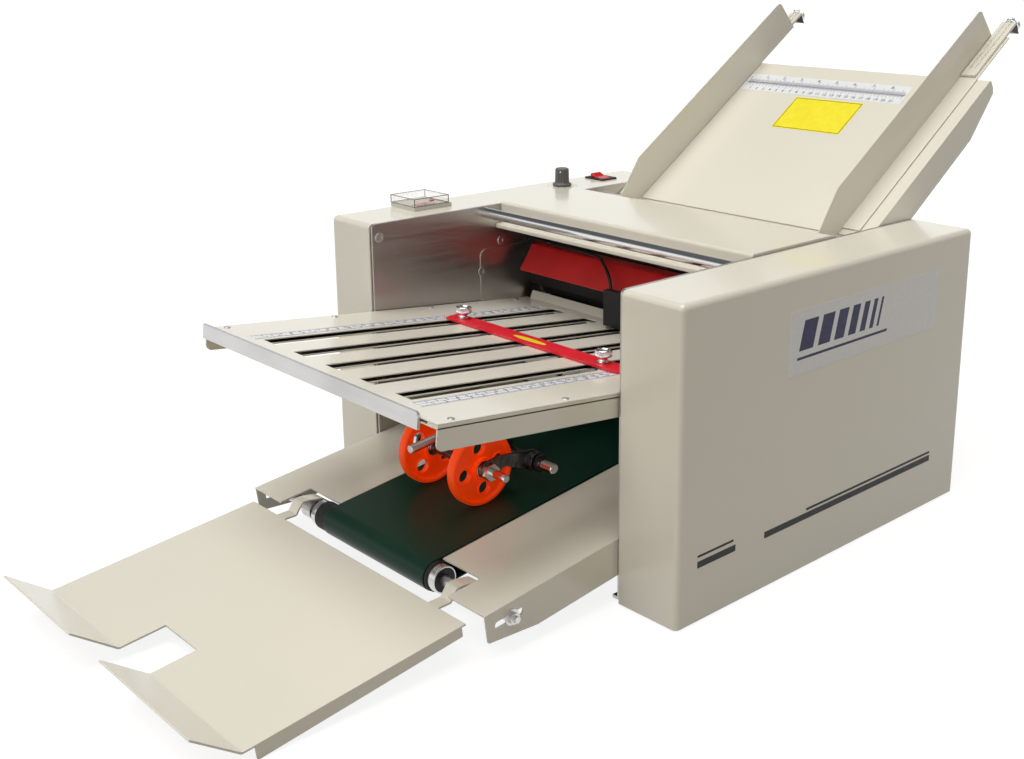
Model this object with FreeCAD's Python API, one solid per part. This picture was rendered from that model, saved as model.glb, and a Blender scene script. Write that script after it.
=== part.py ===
import FreeCAD, Part
import math
import os

V = FreeCAD.Vector

# A desk paper folding machine, in millimetres. +X is the right-hand side, -Y the delivery side,
# +Z up. The origin is the middle of the four bench-bolt holes, on the table plane.

# --- housings and frame ------------------------------------------------------------------
housing_width = 490.0        # over both side housings
pod_width = 70.0             # one side housing
housing_depth = 430.0
housing_height = 280.0
foot_gap = 2.0               # from the table to the lower edge of the housings
cover_wall = 1.5
cover_round = 5.0
side_plate = 3.0
sheet = 1.5                  # folded steel of trays, decks and covers
snug = 0.3                   # clearance between neighbouring pieces
bend = 1.5                   # inner radius of a sheet bend

inner_x = housing_width / 2 - pod_width        # inner face of a side plate
outer_x = housing_width / 2
front_y = -housing_depth / 2
top_z = foot_gap + housing_height

foot_height = 4.0
foot_radius = 13.0
bench_x = outer_x - 30.0     # half pitch of the bench-bolt holes across
bench_y = -front_y - 35.0    # half pitch of the bench-bolt holes front to back
bench_hole = 5.3
pan_wall = 3.0
pan_recess = 45.0            # the pan starts this far behind the front between the housings
pan_top = foot_height + pan_wall
plate_set_back = 1.7         # side plate edge behind the housing front
plate_flange = 18.0
plate_corner = 4.0
doubler = 1.2                # bearing doubler on the inner face
doubler_front = -74.5
doubler_rear = 62.0
doubler_low = 132.0
doubler_high = 235.0

flange_screw_x = inner_x + 12.0
flange_screw_rows = [-150.0, 0.0, 150.0]
socket_places = [(front_y + 10.0, top_z - 14.5), (-44.6, 241.5), (-73.8, 211.4)]
rail_radius = 5.5            # bright rail across the top front
rail_y = -67.5
rail_z = top_z - 6.5
tie_radius = 6.0
tie_places = [(front_y + 65.0, 20.0), (60.0, 20.0), (-front_y - 30.0, 60.0)]

# --- rollers ------------------------------------------------------------------------------
roller_radius = 16.0
roller_gap = 0.3             # rubber to rubber at rest
roller_half = inner_x - 13.0
roller_y = 23.2
roller_two_z = 156.3
first_pair_tilt = 8.0        # degrees, the first pair leans to the front
journal = 5.0                # shaft radius
bearing_radius = 9.5
bearing_width = 5.0
shaft_fit = 0.05
gear_teeth = 20
gear_width = 8.0
gear_x = inner_x + side_plate + 6.0
gear_shaft_end = 4.0
pulley_width = 9.0
pulley_radius = 11.0
belt_wall = 1.4

feed_radius = 20.0
feed_half = 40.0
feed_proud = 1.5             # the feed roller stands this far above the table sheet

# --- feed table ---------------------------------------------------------------------------
table_bend_y = 145.05        # the bend between the upper and the steeper lower part
table_bend_z = 275.63
table_angle = 33.8
table_half = inner_x - 0.4
table_straight = 250.0       # length of the upper, straight part
table_low_angle = 43.4
table_low_length = 139.0
table_low_half = inner_x - 25.0
cheek_end = table_straight + 2.0
cheek_deep = 34.0
cheek_shallow = 16.0
edge_flange = 12.0
guide_wall = 1.2
guide_lift = 0.5             # foot of a guide above the table
guide_x = 137.5              # inner face of a guide from the middle
guide_foot = 22.0
guide_foot_end = table_straight
guide_over = 73.0            # the guide reaches past the upper edge of the table
guide_high = 42.5
guide_tip_y = 104.0
guide_tip_z = 276.8
guide_heel_y = 134.5        # the lower edge leaves the table here
guide_front_y = 133.0
guide_front_top_z = 318.5
bar_width = 17.0
bar_wall = 2.6
bar_over = guide_over + 24.0              # the extension bar reaches past the upper edge of the table
knob_radius = 8.6
knob_height = 6.5
wedge_long = 13.0
wedge_deep = 12.0
ruler_wall = 0.2

# --- top cover ----------------------------------------------------------------------------
lid_front_y = -44.0
lid_top_z = top_z + 2.3
lid_break_y = 75.0
lid_rear_y = 130.0
lid_rear_z = top_z - 13.5
lid_front_deep = 23.0
lid_lip = 8.0
lid_hem = 4.5
lid_half = inner_x - 0.4

# --- first fold plate ---------------------------------------------------------------------
plate_rear_y = -9.19         # roller end of the first fold plate
plate_rear_z = 171.24        # its top surface there
plate_angle = -6.04          # degrees, falls towards the rollers
plate_half = inner_x - doubler - 0.4
plate_length = 394.0
plate_gap = 3.5              # space for the paper between the two sheets
plate_flange_deep = 21.5
slot_pitch = 50.0
slot_width = 17.0
slot_start = 23.0
slot_end = plate_length - 17.0
slot_under = 16.0            # width of the slots in the lower sheet
slot_corner = 0.8            # small radius in the corners of the slots
rivet_radius = 3.0
rivet_x = plate_half - 6.9
rivet_places = [18.0, 135.0, 253.0, plate_length - 22.0]
front_bar_wall = 2.5
front_bar_low = 9.5
front_bar_high = 4.0
front_bar_right = 152.5
lip_height = 9.0
lip_left = (7.4 - plate_half, -48.0)
lip_right = (-6.0, plate_half - 7.4)
stop_at = plate_length - 151.0                     # middle of the stop bar along the plate
stop_width = 24.0
stop_wall = 2.5
stop_half = 119.0
stop_shift = 7.0
strip_wall = 2.0
screw_radius = 4.0
screw_head = 8.0
screw_head_high = 6.0
screw_stem = 6.0

# --- second fold plate --------------------------------------------------------------------
rear_plate_y = 46.0          # entry edge of the second fold plate
rear_plate_z = 142.2
rear_plate_angle = 5.0
rear_plate_length = 236.0
rear_stop_at = 150.0

# --- conveyor -----------------------------------------------------------------------------
front_axle_y = -333.5
front_axle_z = 32.6
deck_front_y = front_axle_y - 27.3
deck_front_z = front_axle_z + 9.9
deck_angle = 7.23
belt_half = 76.0
belt_wall_main = 1.5
belt_radius = 12.4           # rollers of the conveyor
belt_centres = 316.0
deck_half = inner_x - snug
deck_inner = belt_half + 2.0
deck_length = belt_centres + 12.0
deck_flange = 34.0
deck_flange_front = 25.0
axle_slot = 2.9              # half height of the flange's slot for the front axle's bolt
front_roller_right = 88.5    # bare end of the front roller
front_roller_left = -100.0
collar_radius = 10.0
collar_half = 7.5
notch_x = 128.0
notch_deep = 34.0

# --- press wheels -------------------------------------------------------------------------
wheel_radius = 35.0
wheel_width = 10.0
wheel_hole = 6.5
wheel_hole_ring = 20.0
wheel_hub = 11.0
wheel_spread = 36.5
carriage_x = -4.5
wheel_at = 119.0             # along the deck from its front edge
wheel_axle = 4.0
wheel_axle_right = 69.0
wheel_axle_left = -60.0
cross_y = -195.0
cross_z = 90.0
cross_radius = 5.0
cross_right = 75.0
cross_left = -66.0
guide_rod_radius = 4.0
guide_rod_front_y = -298.5
guide_rod_front_z = 113.7
guide_rod_length = 216.0
arm_wall = 3.0
arm_x = 44.0

# --- delivery tray ------------------------------------------------------------------------
tray_back_y = -370.0
tray_back_z = 35.0
tray_angle = 6.75
tray_length = 199.0
tray_half = inner_x - 13.0
tray_flange = 9.5            # depth of the side flange at the back
tray_notch = (-30.5, 22.5)
tray_notch_deep = 40.0
tray_lip = 46.0
tray_lip_angle = 36.0
hook_places = (-113.5, 120.0)                      # middle of each hook and of its collar
hook_half = 6.8
hook_rise = 10.8             # top of a hook above the tray's back edge

# --- controls -----------------------------------------------------------------------------
counter_x = 22.6 - outer_x
counter_y = -116.0
counter_wide = 43.0
counter_deep = 50.0
counter_base = 4.0
counter_lid = 9.0
counter_wall = 1.2
knob_x = 33.0 - outer_x
knob_y = 81.0
speed_skirt = 11.0
speed_body = 8.4
speed_high = 21.0
switch_x = 27.5 - outer_x
switch_y = 150.0
switch_wide = 31.0
switch_deep = 25.0
switch_bezel = 2.0
rocker_well = 11.4           # half length of the opening that the rocker tilts in
inlet_x = 37.0 - outer_x
inlet_wide = 28.0
inlet_low = 46.0
inlet_high = 20.0
board_gap = 18.4             # posts between the left side plate and the control board
board_wall = 1.6
board_y = -125.0
board_z = 75.0

# --- printed plates -----------------------------------------------------------------------
table_rule = (22.5, 53.5)    # along the table from its upper edge
table_label = (58.0, 113.5)
table_label_x = (-46.5, 47.5)
plate_rules_x = [(-128.0, -115.0), (117.0, 131.0)]
plate_rule = (16.0, plate_length - 22.0)
side_label = (-78.0, 156.0, 192.0, 250.5)          # y from, y to, z from, z to on the right housing
front_thin_stripe = (-190.0, -144.0, 60.6, 62.6)
front_wide_stripe = (-190.0, -141.0, 51.0, 57.0)
rear_wide_stripe = (-101.5, 163.5, 49.5, 55.5)
rear_thin_stripe = (-41.5, 163.5, 57.6, 59.8)


# --- drawing helpers ----------------------------------------------------------------------
def sin_deg(angle):
    return math.sin(math.radians(angle))


def cos_deg(angle):
    return math.cos(math.radians(angle))


def box(x0, x1, y0, y1, z0, z1):
    """A block between two corners."""
    return Part.makeBox(x1 - x0, y1 - y0, z1 - z0, V(x0, y0, z0))


def rod_x(radius, x0, x1, y, z):
    """A round bar along X."""
    return Part.makeCylinder(radius, x1 - x0, V(x0, y, z), V(1, 0, 0))


def rod_z(radius, x, y, z0, z1):
    """A round bar along Z."""
    return Part.makeCylinder(radius, z1 - z0, V(x, y, z0), V(0, 0, 1))


def fuse(shapes):
    """One solid of several that touch."""
    return shapes[0].multiFuse(shapes[1:]).removeSplitter() if len(shapes) > 1 else shapes[0]


def mirror_x(shape):
    """The same piece on the other side of the machine."""
    return shape.mirror(V(0, 0, 0), V(1, 0, 0))


def tilt(shape, angle, y, z):
    """Turns a piece drawn flat (along, up) to a slope and sets its origin at y, z."""
    turned = shape.copy()
    turned.rotate(V(0, 0, 0), V(1, 0, 0), angle)
    turned.translate(V(0, y, z))
    return turned


def slope_point(along, up, angle, y, z):
    """The y, z of a point given along and up a slope."""
    return (y + along * cos_deg(angle) - up * sin_deg(angle),
            z + along * sin_deg(angle) + up * cos_deg(angle))


def rounded_wire(points, place):
    """A closed wire through (a, b, radius) corners, each rounded by its own radius."""
    count = len(points)
    ends = []
    for i in range(count):
        before, here, after = points[i - 1], points[i], points[(i + 1) % count]
        u = (before[0] - here[0], before[1] - here[1])
        w = (after[0] - here[0], after[1] - here[1])
        lu, lw = math.hypot(*u), math.hypot(*w)
        u, w = (u[0] / lu, u[1] / lu), (w[0] / lw, w[1] / lw)
        half = math.acos(max(-1.0, min(1.0, u[0] * w[0] + u[1] * w[1]))) / 2
        radius = here[2]
        if radius <= 0 or half > math.radians(89.5):
            ends.append((here, here, here))
            continue
        radius = min(radius, 0.45 * min(lu, lw) * math.tan(half))
        reach = radius / math.tan(half)
        first = (here[0] + u[0] * reach, here[1] + u[1] * reach)
        last = (here[0] + w[0] * reach, here[1] + w[1] * reach)
        side = (u[0] + w[0], u[1] + w[1])
        size = math.hypot(*side)
        out = radius / math.sin(half) - radius
        middle = (here[0] + side[0] / size * out, here[1] + side[1] / size * out)
        ends.append((first, middle, last))
    edges = []
    for i in range(count):
        first, middle, last = ends[i]
        if first is not last:
            edges.append(Part.Arc(place(*first[:2]), place(*middle[:2]), place(*last[:2])).toShape())
        start, stop = place(*last[:2]), place(*ends[(i + 1) % count][0][:2])
        if (stop - start).Length > 1e-6:
            edges.append(Part.LineSegment(start, stop).toShape())
    return Part.Wire(edges)


def prism_x(points, x0, x1):
    """A profile of (y, z, radius) corners, drawn out along X."""
    wire = rounded_wire(points, lambda a, b: V(x0, a, b))
    return Part.Face(wire).extrude(V(x1 - x0, 0, 0))


def prism_z(points, z0, z1):
    """An outline of (x, y, radius) corners, drawn out along Z."""
    wire = rounded_wire(points, lambda a, b: V(a, b, z0))
    return Part.Face(wire).extrude(V(0, 0, z1 - z0))


def bent_sheet(path, wall, inner, x0, x1):
    """A folded sheet: its outline follows the path and the wall lies on its left."""
    count = len(path)
    left, here = [], []
    for i in range(count):
        normals = []
        if i > 0:
            dy, dz = path[i][0] - path[i - 1][0], path[i][1] - path[i - 1][1]
            size = math.hypot(dy, dz)
            normals.append((-dz / size, dy / size))
        if i < count - 1:
            dy, dz = path[i + 1][0] - path[i][0], path[i + 1][1] - path[i][1]
            size = math.hypot(dy, dz)
            normals.append((-dz / size, dy / size))
        ny = sum(n[0] for n in normals) / len(normals)
        nz = sum(n[1] for n in normals) / len(normals)
        square = ny * ny + nz * nz
        if len(normals) == 2:
            turn = normals[0][0] * normals[1][1] - normals[0][1] * normals[1][0]
            near, far = (inner + wall, inner) if turn > 0 else (inner, inner + wall)
        else:
            near, far = 0.0, 0.0
        here.append((path[i][0], path[i][1], near))
        left.append((path[i][0] + ny / square * wall, path[i][1] + nz / square * wall, far))
    return prism_x(here + left[::-1], x0, x1)


def slot_cut(x, width, start, stop, low, high):
    """A slot along Y with small corner radii, as a cutter."""
    cutter = box(x - width / 2, x + width / 2, start, stop, low, high)
    middle = (low + high) / 2
    return cutter.makeFillet(slot_corner, near_edges(cutter, lambda c: abs(c.z - middle) < 0.01))


def near_edges(shape, test):
    """The edges whose middle passes a test."""
    return [e for e in shape.Edges if test(e.CenterOfMass)]


def loop_face(first, second, radius, x):
    """The face inside a belt's line round two equal circles in the YZ plane."""
    dy, dz = second[0] - first[0], second[1] - first[1]
    size = math.hypot(dy, dz)
    along, side = (dy / size, dz / size), (-dz / size, dy / size)

    def at(centre, a, b):
        return V(x, centre[0] + along[0] * a + side[0] * b, centre[1] + along[1] * a + side[1] * b)

    edges = [
        Part.LineSegment(at(first, 0, radius), at(second, 0, radius)).toShape(),
        Part.Arc(at(second, 0, radius), at(second, radius, 0), at(second, 0, -radius)).toShape(),
        Part.LineSegment(at(second, 0, -radius), at(first, 0, -radius)).toShape(),
        Part.Arc(at(first, 0, -radius), at(first, -radius, 0), at(first, 0, radius)).toShape(),
    ]
    return Part.Face(Part.Wire(edges))


def belt_loop(first, second, inner, wall, x0, x1):
    """An endless belt round two equal pulleys."""
    outer = loop_face(first, second, inner + wall, x0).extrude(V(x1 - x0, 0, 0))
    return outer.cut(loop_face(first, second, inner, x0).extrude(V(x1 - x0, 0, 0)))


def pan_screw(base, axis, head_radius, head_high, shank_radius, shank_length):
    """A screw: its head stands on the base point along the axis, its shank goes the other way."""
    head = Part.makeCylinder(head_radius, head_high, base, axis)
    rim = near_edges(head, lambda c: (c - base).dot(axis) > head_high * 0.9)
    head = head.makeFillet(head_high * 0.35, rim[:1])
    socket = Part.makeCylinder(head_radius * 0.42, head_high * 0.6, base + axis * (head_high * 0.5), axis)
    shank = Part.makeCylinder(shank_radius, shank_length, base - axis * shank_length, axis)
    return head.cut(socket).fuse(shank).removeSplitter()


parts = {}


# --- places worked out from the sizes -----------------------------------------------------
pitch = 2 * roller_radius + roller_gap
roller_two = (roller_y, roller_two_z)
roller_one = (roller_y - pitch * sin_deg(first_pair_tilt), roller_two_z + pitch * cos_deg(first_pair_tilt))
roller_three = (roller_y, roller_two_z - pitch)
roller_four = (roller_y, roller_two_z - 2 * pitch)
roller_centres = [roller_one, roller_two, roller_three, roller_four]

plate_front_y = plate_rear_y - plate_length * cos_deg(plate_angle)
plate_front_z = plate_rear_z - plate_length * sin_deg(plate_angle)
table_bend = (table_bend_y, table_bend_z)
table_top_y = table_bend_y + table_straight * cos_deg(table_angle)
table_top_z = table_bend_z + table_straight * sin_deg(table_angle)
table_foot = (table_bend[0] - table_low_length * cos_deg(table_low_angle),
              table_bend[1] - table_low_length * sin_deg(table_low_angle))
feed_along = 82.0            # from the bend down to the feed roller's top
feed_up = feed_proud - feed_radius
feed_centre = (table_bend[0] - feed_along * cos_deg(table_low_angle) - feed_up * sin_deg(table_low_angle),
               table_bend[1] - feed_along * sin_deg(table_low_angle) + feed_up * cos_deg(table_low_angle))
front_axle = (front_axle_y, front_axle_z)
rear_axle = (front_axle_y + belt_centres * cos_deg(deck_angle),
             front_axle_z + belt_centres * sin_deg(deck_angle))
belt_inner = belt_radius + snug
journal_places = roller_centres + [feed_centre, rear_axle]
separator_pivot = (34.0, 250.0)
separator_radius = 4.0
slot_rows = [slot_pitch * n for n in (-2, -1, 0, 1, 2)]


# --- frame --------------------------------------------------------------------------------
def build_base():
    """The base pan, its rubber feet and the side plates with their bearing doublers."""
    pan_x = outer_x - cover_wall - 0.5
    pan_y = housing_depth / 2 - cover_wall - 0.5
    pan = prism_z([(-pan_x, -pan_y, 5), (pan_x, -pan_y, 5), (pan_x, pan_y, 5), (-pan_x, pan_y, 5)],
                  foot_height, pan_top)
    window = box(-inner_x + 6, inner_x - 6, -pan_y - 1, front_y + pan_recess, 0, pan_top + 1)
    pan = pan.cut(window)
    for x in (-flange_screw_x, flange_screw_x):
        for y in flange_screw_rows:
            pan = pan.cut(rod_z(2.6, x, y, 0, pan_top + 1))
    feet = []
    for x in (-bench_x, bench_x):
        for y in (-bench_y, bench_y):
            hole = rod_z(bench_hole / 2, x, y, -1, pan_top + 1)
            pan = pan.cut(hole)
            foot = Part.makeCone(foot_radius, foot_radius - 1.5, foot_height, V(x, y, 0))
            feet.append(foot.cut(hole))
    parts["base_pan"] = pan
    parts["rubber_feet"] = Part.makeCompound(feet)

    low, high = pan_top, top_z
    edge_front, edge_rear = front_y + plate_set_back, -front_y - plate_set_back
    outline = [(edge_front, low, 0), (edge_rear, low, 0), (edge_rear, high, plate_corner),
               (edge_front, high, plate_corner)]
    plate = prism_x(outline, inner_x, inner_x + side_plate)
    flange = box(inner_x, inner_x + plate_flange, edge_front + 20, edge_rear - 20, low, low + side_plate)
    plate = plate.fuse(flange).removeSplitter()
    for y in flange_screw_rows:
        plate = plate.cut(rod_z(2.6, flange_screw_x, y, low - 1, low + side_plate + 1))
    inner = prism_x([(doubler_front, doubler_low, 0), (doubler_rear, doubler_low, 0),
                     (doubler_rear, doubler_high, 8), (doubler_front, doubler_high, 8)],
                    inner_x - doubler, inner_x)
    for y, z in journal_places:
        plate = plate.cut(rod_x(bearing_radius + shaft_fit, inner_x - 1, inner_x + side_plate + 1, y, z))
        inner = inner.cut(rod_x(journal + 2.5, inner_x - doubler - 1, inner_x + 1, y, z))
    for y, z in tie_places + [(rail_y, rail_z), separator_pivot] + socket_places:
        hole = rod_x(2.6, inner_x - doubler - 1, inner_x + side_plate + 1, y, z)
        plate, inner = plate.cut(hole), inner.cut(hole)
    cable_hole = rod_x(4.0, inner_x - 1, inner_x + side_plate + 1, cable_points[0][1], cable_points[0][2])
    parts["right_side_plate"] = Part.makeCompound([plate, inner])
    parts["left_side_plate"] = mirror_x(Part.makeCompound([plate.cut(cable_hole), inner.cut(
        rod_x(4.0, inner_x - doubler - 1, inner_x + 1, cable_points[0][1], cable_points[0][2]))]))


def build_covers():
    """The two painted housings, open below and towards the side plates."""
    start = inner_x + side_plate + snug
    depth = housing_depth / 2

    def rounded_block(inset, reach, low):
        block = box(start - reach, outer_x - inset, -depth + inset, depth - inset, low, top_z - inset)
        soft = near_edges(block, lambda c: (abs(c.x - outer_x + inset) < 0.01 and c.z > low + 1)
                          or (c.z > top_z - inset - 0.01 and abs(abs(c.y) - depth + inset) < 0.01))
        return block.makeFillet(cover_round - inset, soft)

    shell = rounded_block(0, 0, foot_gap).cut(rounded_block(cover_wall, 1, foot_gap - 1))
    lip = box(start + 8, outer_x - cover_wall, -depth + cover_wall, -depth + 14, foot_gap, foot_height)
    rear = box(start + 8, outer_x - cover_wall, depth - 14, depth - cover_wall, foot_gap, foot_height)
    shell = shell.multiFuse([lip, rear]).removeSplitter()
    parts["right_cover"] = shell
    left = mirror_x(shell)
    cuts = [
        rod_z(4.2, knob_x, knob_y, top_z - 5, top_z + 1),
        box(switch_x - 13, switch_x + 13, switch_y - 9.6, switch_y + 9.6, top_z - 5, top_z + 1),
        box(counter_x - 12, counter_x + 12, counter_y - 18, counter_y + 18, top_z - 5, top_z + 1),
        box(inlet_x - inlet_wide / 2, inlet_x + inlet_wide / 2, depth - 3, depth + 1,
            inlet_low, inlet_low + inlet_high),
    ]
    parts["left_cover"] = left.cut(Part.makeCompound(cuts))


def build_cross_pieces():
    """Rods across the frame, the wheel guide rod with its bar, and the conveyor's front axle."""
    parts["chrome_rail"] = rod_x(rail_radius, -inner_x, inner_x, rail_y, rail_z)
    rods = [rod_x(tie_radius, -inner_x, inner_x, y, z) for y, z in tie_places]
    rods.append(rod_x(separator_radius, -inner_x + doubler, inner_x - doubler, *separator_pivot))
    collars = [rod_x(collar_radius, x - collar_half, x + collar_half, *front_axle) for x in hook_places]
    reach = deck_half - sheet
    rods.append(fuse([rod_x(journal, -reach, reach, *front_axle)] + collars))
    parts["cross_rods"] = Part.makeCompound(rods)

    bar_y, bar_z = slope_point(guide_rod_length, 0, deck_angle, guide_rod_front_y, guide_rod_front_z)
    bar = box(-inner_x, inner_x, bar_y - 6, bar_y + 6, bar_z - 8, bar_z + 8)
    guide = Part.makeCylinder(guide_rod_radius, guide_rod_length, V(carriage_x, 0, 0), V(0, 1, 0))
    guide = guide.makeChamfer(0.8, near_edges(guide, lambda c: c.y < 0.1))
    guide = tilt(guide, deck_angle, guide_rod_front_y, guide_rod_front_z)
    parts["wheel_rail"] = Part.makeCompound([guide.cut(bar), bar])


def build_screws():
    """Screws of the frame, hidden and seen, with the nuts that hold the conveyor's front axle."""
    screws = []
    places = tie_places + [(rail_y, rail_z), separator_pivot]
    for side in (-1, 1):
        for y, z in places:
            base = V(side * (inner_x + side_plate), y, z)
            screws.append(pan_screw(base, V(side, 0, 0), 4.5, 3.0, 2.4, side_plate))
        for y in flange_screw_rows:
            base = V(side * flange_screw_x, y, pan_top + side_plate)
            screws.append(pan_screw(base, V(0, 0, 1), 4.5, 3.0, 2.4, side_plate + pan_wall))
        for y, z in socket_places:
            face = inner_x - (doubler if z < doubler_high else 0)
            base = V(side * face, y, z)
            screws.append(pan_screw(base, V(-side, 0, 0), 5.0, 1.2, 2.4, side_plate))
        base = V(side * deck_half, front_axle[0], front_axle[1])
        washer = Part.makeCylinder(7.0, 1.2, base, V(side, 0, 0))
        nut = Part.makeCylinder(4.8, 4.0, base + V(side * 1.2, 0, 0), V(side, 0, 0))
        tip = Part.makeCylinder(2.8, 3.0, base + V(side * 5.2, 0, 0), V(side, 0, 0))
        screws.append(fuse([washer, nut, tip]))
    parts["frame_screws"] = Part.makeCompound(screws)


# --- rollers and drive --------------------------------------------------------------------
def gear(centre, phase, x0):
    """A spur gear on the X axis, with straight flanks and a gap or tooth at the phase angle."""
    pitch_radius = pitch / 2
    module = 2 * pitch_radius / gear_teeth
    tip, root = pitch_radius + 0.85 * module, pitch_radius - 1.25 * module
    step = 2 * math.pi / gear_teeth
    corners = []
    for tooth in range(gear_teeth):
        middle = math.radians(phase) + tooth * step
        for radius, share in ((root, -0.33), (tip, -0.12), (tip, 0.12), (root, 0.33)):
            angle = middle + share * step
            corners.append(V(x0, centre[0] + radius * math.cos(angle), centre[1] + radius * math.sin(angle)))
    wheel = Part.Face(Part.makePolygon(corners + corners[:1])).extrude(V(gear_width, 0, 0))
    return wheel.cut(rod_x(journal, x0 - 1, x0 + gear_width + 1, *centre))


def pulley(centre, x0):
    """A flanged pulley on a shaft along X."""
    rim = rod_x(pulley_radius, x0, x0 + pulley_width, *centre)
    flanges = [rod_x(pulley_radius + 2.5, a, a + 1.0, *centre) for a in (x0, x0 + pulley_width - 1.0)]
    body = fuse([rim] + flanges)
    return body.cut(rod_x(journal, x0 - 1, x0 + pulley_width + 1, *centre))


outer_pulley_x = outer_x - cover_wall - 4 - pulley_width
left_pulley_x = -inner_x - side_plate - 8 - pulley_width
second_pulley_x = left_pulley_x - pulley_width - 4


def build_rollers():
    """Four rubber fold rollers with their gears, the feed roller and its shaft, and the bearings."""
    step = 360.0 / gear_teeth
    phase = 90.0 - step / 2
    line = 90.0 + first_pair_tilt
    phases = {1: 2 * line - phase + 180.0 + step / 2, 2: phase, 3: 90.0, 4: phase}
    for number, centre in enumerate(roller_centres, 1):
        left_end = -inner_x - side_plate - 3
        right_end = gear_x + gear_width + gear_shaft_end
        if number == 2:
            left_end = left_pulley_x - 2
        if number == 4:
            left_end = second_pulley_x - 2
        if number == 3:
            right_end = outer_pulley_x + pulley_width + 2
        body = fuse([rod_x(roller_radius, -roller_half, roller_half, *centre),
                     rod_x(journal, left_end, right_end, *centre)])
        solids = [body, gear(centre, phases[number], gear_x)]
        if number == 2:
            solids.append(pulley(centre, left_pulley_x))
        if number == 4:
            solids.append(pulley(centre, second_pulley_x))
        if number == 3:
            solids.append(pulley(centre, outer_pulley_x))
        parts["fold_roller_%d" % number] = Part.makeCompound(solids)

    shaft = rod_x(journal, left_pulley_x - 2, inner_x + side_plate + 3, *feed_centre)
    tyre = rod_x(feed_radius, -feed_half, feed_half, *feed_centre)
    tyre = tyre.cut(rod_x(journal, -feed_half - 1, feed_half + 1, *feed_centre))
    parts["feed_roller"] = Part.makeCompound([shaft, tyre, pulley(feed_centre, left_pulley_x)])

    rings = []
    for side in (-1, 1):
        for y, z in journal_places:
            x0, x1 = inner_x + snug / 2, inner_x + bearing_width
            ring = rod_x(bearing_radius, x0, x1, y, z).cut(rod_x(journal + shaft_fit, x0 - 1, x1 + 1, y, z))
            rings.append(ring if side > 0 else mirror_x(ring))
    parts["shaft_bearings"] = Part.makeCompound(rings)


motor_centre = (-90.0, 70.0)
motor_radius = 28.0
motor_end = outer_pulley_x - 4


def build_drive():
    """The motor in the right housing, its pulley and the three drive belts."""
    face = inner_x + side_plate
    can = rod_x(motor_radius, face, motor_end, *motor_centre)
    can = can.makeFillet(3.0, near_edges(can, lambda c: c.x > motor_end - 0.1))
    bore = rod_x(3.2, face + 10, motor_end + 1, *motor_centre)
    parts["motor"] = can.cut(bore)
    shaft = rod_x(3.0, face + 12, outer_pulley_x + pulley_width, *motor_centre)
    wheel = pulley(motor_centre, outer_pulley_x)
    web = rod_x(journal, outer_pulley_x, outer_pulley_x + pulley_width, *motor_centre)
    parts["motor_pulley"] = fuse([shaft, wheel, web])
    inner = pulley_radius + snug
    loops = [
        belt_loop(motor_centre, roller_three, inner, belt_wall,
                  outer_pulley_x + 1.5, outer_pulley_x + pulley_width - 1.5),
        belt_loop(roller_two, feed_centre, inner, belt_wall,
                  left_pulley_x + 1.5, left_pulley_x + pulley_width - 1.5),
        belt_loop(rear_axle, roller_four, inner, belt_wall,
                  second_pulley_x + 1.5, second_pulley_x + pulley_width - 1.5),
    ]
    parts["drive_belts"] = Part.makeCompound(loops)


# --- feed side ----------------------------------------------------------------------------
def on_table(along, up):
    """The y, z of a point along the table from its upper edge, and above its surface."""
    return (table_top_y - along * cos_deg(table_angle) - up * sin_deg(table_angle),
            table_top_z - along * sin_deg(table_angle) + up * cos_deg(table_angle))


def table_block(x0, x1, along0, along1, up0, up1):
    """A flat block that lies on the table."""
    corners = [on_table(along0, up0), on_table(along0, up1), on_table(along1, up1), on_table(along1, up0)]
    return prism_x([(y, z, 0) for y, z in corners], x0, x1)


def build_table():
    """The sloping feed table with side cheeks and a narrower lower part."""
    edge = on_table(0, 0)
    flange = on_table(0, -edge_flange)
    main = bent_sheet([flange, edge, table_bend, on_table(table_straight + 8, 0)], sheet, 1.0,
                      -table_half, table_half)
    low = bent_sheet([on_table(table_straight - 4, 0), table_bend, table_foot], sheet, bend,
                     -table_low_half, table_low_half)
    cheek_line = [(0, 0), (2.0, -cheek_shallow), (62.0, -cheek_deep + 1), (cheek_end, -cheek_deep),
                  (cheek_end, 0)]
    cheek = prism_x([on_table(a, u) + (2.0,) for a, u in cheek_line], table_half - sheet, table_half)
    table = fuse([main, low, cheek, mirror_x(cheek)])
    table = table.cut(rod_x(feed_radius + 2.0, -feed_half - 2, feed_half + 2, *feed_centre))
    parts["feed_table"] = table


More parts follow.
